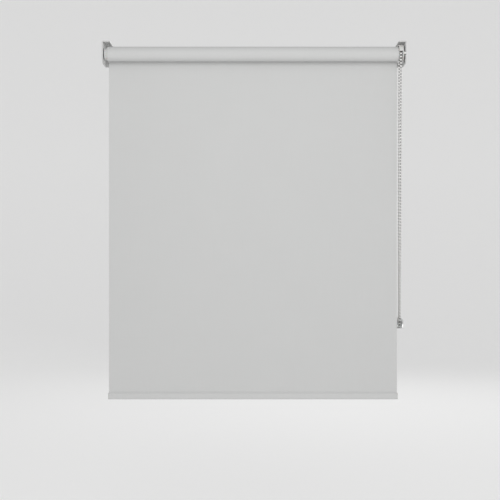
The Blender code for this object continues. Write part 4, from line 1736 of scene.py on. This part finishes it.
@dataclass
class IdleEnd(SubAssembly):
    """The other end: the tube's plug, with the sprung pin that snaps into the bracket."""

    pin: float = 0.0025
    collar: float = 0.0038
    tail: float = 0.0016
    tube_bore: float = 0.0115
    flute: float = 0.0014
    flutes: int = 12
    flute_facets: int = 8
    gap: float = 0.0003
    running: float = 0.0001
    rim: float = 0.0135
    rim_width: float = 0.0012
    boss: float = 0.0109
    ring: float = 0.0046
    ring_width: float = 0.0046
    ring_depth: float = 0.0004
    boss_edge: float = 0.0006
    rim_edge: float = 0.0005
    fillet: float = 0.0004
    bore_edge: float = 0.0002
    sleeve_edge: float = 0.0008
    mouth_edge: float = 0.0003
    chamber_start: float = 0.005
    collar_width: float = 0.0020
    dome: float = 0.0012
    dimple: float = 0.0006
    wire: float = 0.0003
    coils: int = 7
    coil_steps: int = 28
    wire_sides: int = 10
    end_room: float = 1.2
    end_share: float = 0.5
    dome_steps: int = 6
    pin_facets: int = 40

    def __post_init__(self) -> None:
        """Reads where the plug and pin sit, and how far the pin slides."""
        self.axis = joint_point("roller_turn")
        self.fabric_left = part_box("roller_tube")[0].x
        self.travel = joint("pin_slide")["range_m"][1]

    def plug(self) -> None:
        """Makes the plug: a rimmed flange, a fluted sleeve and a chamber for the spring."""
        low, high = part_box("idle_plug")
        left, end, rim, boss = low.x, high.x, self.rim, self.boss
        sleeve = self.tube_bore - self.gap
        right = self.fabric_left - self.gap
        flange = right - self.rim_width
        bore, chamber = self.pin + self.running, self.collar + self.gap
        ring, dent, edge = self.ring, self.ring_depth, self.bore_edge
        groove = ring + self.ring_width
        face = [
            (left, bore + edge), (left, ring), (left + dent, ring + dent), (left + dent, groove),
            (left, groove + dent), *eased(left, boss, self.boss_edge),
        ]
        flanged = [
            (flange - self.fillet, boss), (flange, boss + self.fillet),
            *eased(flange, rim, self.rim_edge), (right - edge / 2, rim), (right, rim - edge),
        ]
        chamfer, mouth = self.sleeve_edge, self.mouth_edge
        fluted = [
            (right, sleeve, self.flute), (end - chamfer, sleeve, self.flute),
            (end, sleeve - chamfer, self.flute),
        ]
        start = self.fabric_left + self.chamber_start
        inside = [
            (end, chamber + mouth), (end - mouth, chamber), (start, chamber), (start, bore),
            (left + edge, bore),
        ]
        profile = [*face, *flanged, *fluted, *inside]
        facets = self.flutes * self.flute_facets
        made = Bench.turned("tube_plug", profile, self.axis, facets, self.flutes)
        Bench.fit(made, "roller", self.finishes.plastic, "white_plastic", "idle_plug")

    def pin_piece(self) -> None:
        """Makes the pin: domed nose, collar and tail."""
        low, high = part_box("idle_pin")
        left = self.fabric_left + self.chamber_start + self.gap
        right, soft, tail = left + self.collar_width, self.bore_edge, self.tail
        nose = [
            (low.x + self.dome * (1 - along), self.pin - self.dome * up)
            for along, up in quarter(self.dome_steps)
        ]
        profile = [
            (low.x + 2 * soft, self.dimple), *reversed(nose),
            (left, self.pin), (left, self.collar - soft), (left + soft, self.collar),
            (right - soft, self.collar), (right, self.collar - soft), (right, tail),
            (high.x - self.rim_edge, tail), (high.x, tail - self.rim_edge), (high.x, self.dimple),
        ]
        made = Bench.turned("snap_pin", profile, self.axis, self.pin_facets)
        Bench.fit(made, "sprung_pin", self.finishes.pin, "painted_steel", "idle_pin")

    def spring(self) -> None:
        """Makes the pin's spring."""
        low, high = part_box("idle_pin_spring")
        wire = self.wire
        coil = (high.y - low.y) / 2 - wire
        start, end = low.x + wire * self.end_room, high.x - wire * self.end_room
        last = self.coils * self.coil_steps
        pitch = (end - start) / self.coils / math.tau
        rings = []
        for i in range(last + 1):
            angle = math.tau * i / self.coil_steps
            out = Vector((0, math.cos(angle), math.sin(angle)))
            heading = Vector((pitch, -coil * out.z, coil * out.y)).normalized()
            on_axis = Vector((start + (end - start) * i / last, self.axis.y, self.axis.z))
            reach = wire * (self.end_share if i in (0, last) else 1.0)
            middle = on_axis + out * coil
            rings.append(hoop(middle, out, heading.cross(out), reach, self.wire_sides))
        made = Bench.loft("pin_spring", rings)
        Bench.fit(made, "roller", self.finishes.wire, "spring_steel", "idle_pin_spring")
        length = high.x - low.x
        (length - self.travel) / length
        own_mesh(made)

    def build(self) -> None:
        """Makes and dresses the idle end."""
        self.plug()
        self.pin_piece()
        self.spring()
        Bench.dress_node("idle_plug_cap", self.finishes.plastic)


# ---------------------------------------------------------------- tensioner


@dataclass
class Tensioner(SubAssembly):
    """The chain's safety device: a trough on the recess side, a cheek and a small pulley."""

    trough: float = 0.01205
    wall: float = 0.0014
    rise: float = 0.005
    bore: float = 0.0018
    sleeve: float = 0.0024
    countersink: float = 0.0036
    pulley_pitch: float = 0.009
    bead: float = 0.0045
    groove_half: float = 0.0025
    gap: float = 0.0003
    edge: float = 0.00035
    back: float = 0.002
    over: float = 0.001
    countersink_over: float = 0.0004
    countersink_land: float = 0.0002
    pulley_rim: float = 0.0021
    pulley_soft: float = 0.0003
    groove_curve: float = 0.0008
    groove_soft: float = 0.0001
    bore_edge: float = 0.0002
    running: float = 0.0001
    round_steps: int = 40
    bore_facets: int = 32
    flare_facets: int = 40
    pulley_facets: int = 64

    def __post_init__(self) -> None:
        """Reads where the tensioner is fixed."""
        self.centre = joint_point("pulley_turn")
        self.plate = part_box("tensioner_base")[1].x
        self.cover_left, self.cover_right = (corner.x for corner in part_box("tensioner_cover"))

    def outline(self, radius: float, rise: float) -> list[Point]:
        """The trough's section: round below the pulley, straight up to its open top.

        Args:
            radius: How far its sides are from the middle.
            rise: How far its top is above the pulley's axis.

        Returns:
            The outline.
        """
        y, z = self.centre.y, self.centre.z
        below = arc((y, z), radius, math.pi, math.tau, self.round_steps)
        return [(y - radius, z + rise), *below, (y + radius, z + rise)]

    def base(self) -> None:
        """Makes the body: a plate on the wall with a round trough."""
        left = self.cover_right + self.gap
        shell = self.trough + self.wall
        made = Bench.prism("keeper_body", self.outline(shell, self.rise), Along.X, left, self.plate)
        room = self.outline(self.trough, self.rise + self.over)
        inner = self.plate - self.back
        hollow = Bench.prism("room", room, Along.X, left - self.over, inner)
        Bench.combine(made, hollow, Join.CUT)
        hole = circle((self.centre.y, self.centre.z), self.bore, self.bore_facets)
        drill = Bench.prism("drill", hole, Along.X, inner - self.over, self.plate + self.over)
        Bench.combine(made, drill, Join.CUT)
        Bench.soften(made, self.edge, 2)
        Bench.fit(made, "root", self.finishes.clear, "clear_plastic", "tensioner_base")

    def cover(self) -> None:
        """Makes the cheek, with a countersink for the fixing screw."""
        left, right = self.cover_left, self.cover_right
        cheek = self.outline(self.trough + self.wall, self.rise)
        made = Bench.prism("keeper_cheek", cheek, Along.X, left, right)
        over, land = self.countersink_over, self.countersink_land
        slope = (self.countersink - self.bore) / (right - left)
        waist = self.bore + slope * land
        steps = (
            (left - over, self.countersink + slope * over), (right - land, waist),
            (right + over, waist),
        )
        centre = (self.centre.y, self.centre.z)
        rings = [Along.X.lift(circle(centre, radius, self.flare_facets), x) for x, radius in steps]
        Bench.combine(made, Bench.loft("countersink", rings), Join.CUT)
        Bench.soften(made, self.edge, 3)
        Bench.fit(made, "root", self.finishes.clear, "clear_plastic", "tensioner_cover")

    def pulley(self) -> None:
        """Makes the small pulley that the chain turns round."""
        low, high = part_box("tensioner_pulley")
        groove = self.pulley_pitch - self.bead / 2 - self.gap
        rim, soft, ease = groove + self.pulley_rim, self.pulley_soft, self.groove_soft
        bore, left = self.sleeve + self.running, self.centre.x - self.groove_half
        half = [
            (left - ease, rim), (left, rim - soft), (left, groove + self.groove_curve),
            (left + self.groove_curve, groove + ease),
        ]
        profile = [
            (low.x, bore + self.bore_edge), (low.x, rim - soft), (low.x + soft * 0.5, rim), *half,
            (self.centre.x, groove), *mirrored(half, self.centre.x),
            (high.x - soft * 0.5, rim), (high.x, rim - soft), (high.x, bore + self.bore_edge),
            (high.x - self.bore_edge, bore), (low.x + self.bore_edge, bore),
        ]
        made = Bench.turned("keeper_pulley", profile, self.centre, self.pulley_facets)
        Bench.fit(made, "chain_idler", self.finishes.plastic, "white_plastic", "tensioner_pulley")

    def build(self) -> None:
        """Makes and dresses the tensioner."""
        self.base()
        self.cover()
        self.pulley()
        Bench.dress_node("tensioner_sleeve", self.finishes.pin)


# ---------------------------------------------------------------- studio


@dataclass
class Studio(SubAssembly):
    """A pale round sweep, soft light and the camera."""

    floor_z: float = -1.05
    floor_radius: float = 3.4
    cove: float = 1.2
    height: float = 2.6
    thickness: float = 0.02
    hub: float = 0.0005
    facets: int = 96
    cove_steps: int = 12
    camera: tuple[float, float, float] = (0.0, -2.002, -0.405)
    lens: float = 72.65
    sensor: float = 36.0
    shift: float = -0.0084
    sky: Colour = (1.0, 1.0, 1.0)
    sky_strength: float = 0.51

    def build_stage(self) -> None:
        """Makes the floor and the sweep round it as one dish."""
        wall = self.floor_radius + self.cove
        section = [(self.hub, 0.0), (self.floor_radius * 0.5, 0.0), (self.floor_radius, 0.0)]
        for along, up in quarter(self.cove_steps)[1:]:
            section.append((self.floor_radius + self.cove * along, self.cove * up))
        section.append((wall, self.height))
        for radius, height in reversed(section[1:]):
            under = height - self.thickness if height < self.cove else height
            section.append((radius + self.thickness, under))
        section.append((self.hub, -self.thickness))
        rings = [
            Along.Z.lift(circle((0.0, 0.0), radius, self.facets), self.floor_z + height)
            for radius, height in section
        ]
        dish = Bench.loft("studio_sweep", rings, closed=True)
        dish.data.materials.append(self.finishes.paper)

    def light(self, name: str, spot: Point, aim: Point, size: float, power: float) -> None:
        """Hangs one soft light.

        Args:
            name: Its name.
            spot: Where it hangs.
            aim: The point that it faces.
            size: The side of its square face.
            power: Its power in watts.
        """
        lamp = bpy.data.lights.new(name, "AREA")
        lamp.shape = "SQUARE"
        lamp.size = size
        lamp.energy = power
        made = bpy.data.objects.new(name, lamp)
        made.location = spot
        heading = Vector(aim) - Vector(spot)
        made.rotation_euler = heading.to_track_quat("-Z", "Y").to_euler()
        made.visible_camera = False
        bpy.context.collection.objects.link(made)

    def build(self) -> None:
        """Sets up stage, lights, world and camera."""
        self.build_stage()
        self.light("key_light", (-0.35, -1.25, 0.50), (0.0, 0.0, -0.15), 0.8, 1.4)
        self.light("near_fill", (0.15, -1.35, 0.0), (0.0, 0.0, -0.25), 1.0, 7.2)
        self.light("back_fill", (0.5, 2.6, 1.0), (0.0, 0.0, -0.3), 2.0, 20.0)
        world = bpy.data.worlds.new("studio_air")
        world.use_nodes = True
        air = world.node_tree.nodes["Background"]
        air.inputs["Color"].default_value = (*self.sky, 1.0)
        air.inputs["Strength"].default_value = self.sky_strength
        scene = bpy.context.scene
        scene.world = world
        scene.view_settings.view_transform = "Standard"
        lens = bpy.data.cameras.new("camera")
        lens.lens = self.lens
        lens.sensor_width = self.sensor
        lens.shift_x = self.shift
        lens.clip_start = 0.01
        eye = bpy.data.objects.new("camera", lens)
        eye.location = self.camera
        eye.rotation_euler = (math.pi / 2, 0.0, 0.0)
        bpy.context.collection.objects.link(eye)
        scene.camera = eye


def main() -> None:
    """Builds the studio, then the blind from the chain to its tensioner."""
    logging.basicConfig(level=logging.INFO, format="%(name)s: %(message)s")
    finishes = Finishes(joint_point("roller_turn"))
    Studio(finishes).build()
    chain = ChainRun(finishes)
    chain.build()
    lead = WoundCloth(finishes).build()
    hem = HemRail(finishes).build()
    HangingCloth(finishes).build(lead, hem)
    Bench.dress_node("roller_tube", finishes.aluminium)
    for side in Side:
        WallBracket(finishes, side).build()
    Clutch(finishes).build(chain)
    IdleEnd(finishes).build()
    Tensioner(finishes).build()


if __name__ == "__main__":
    main()
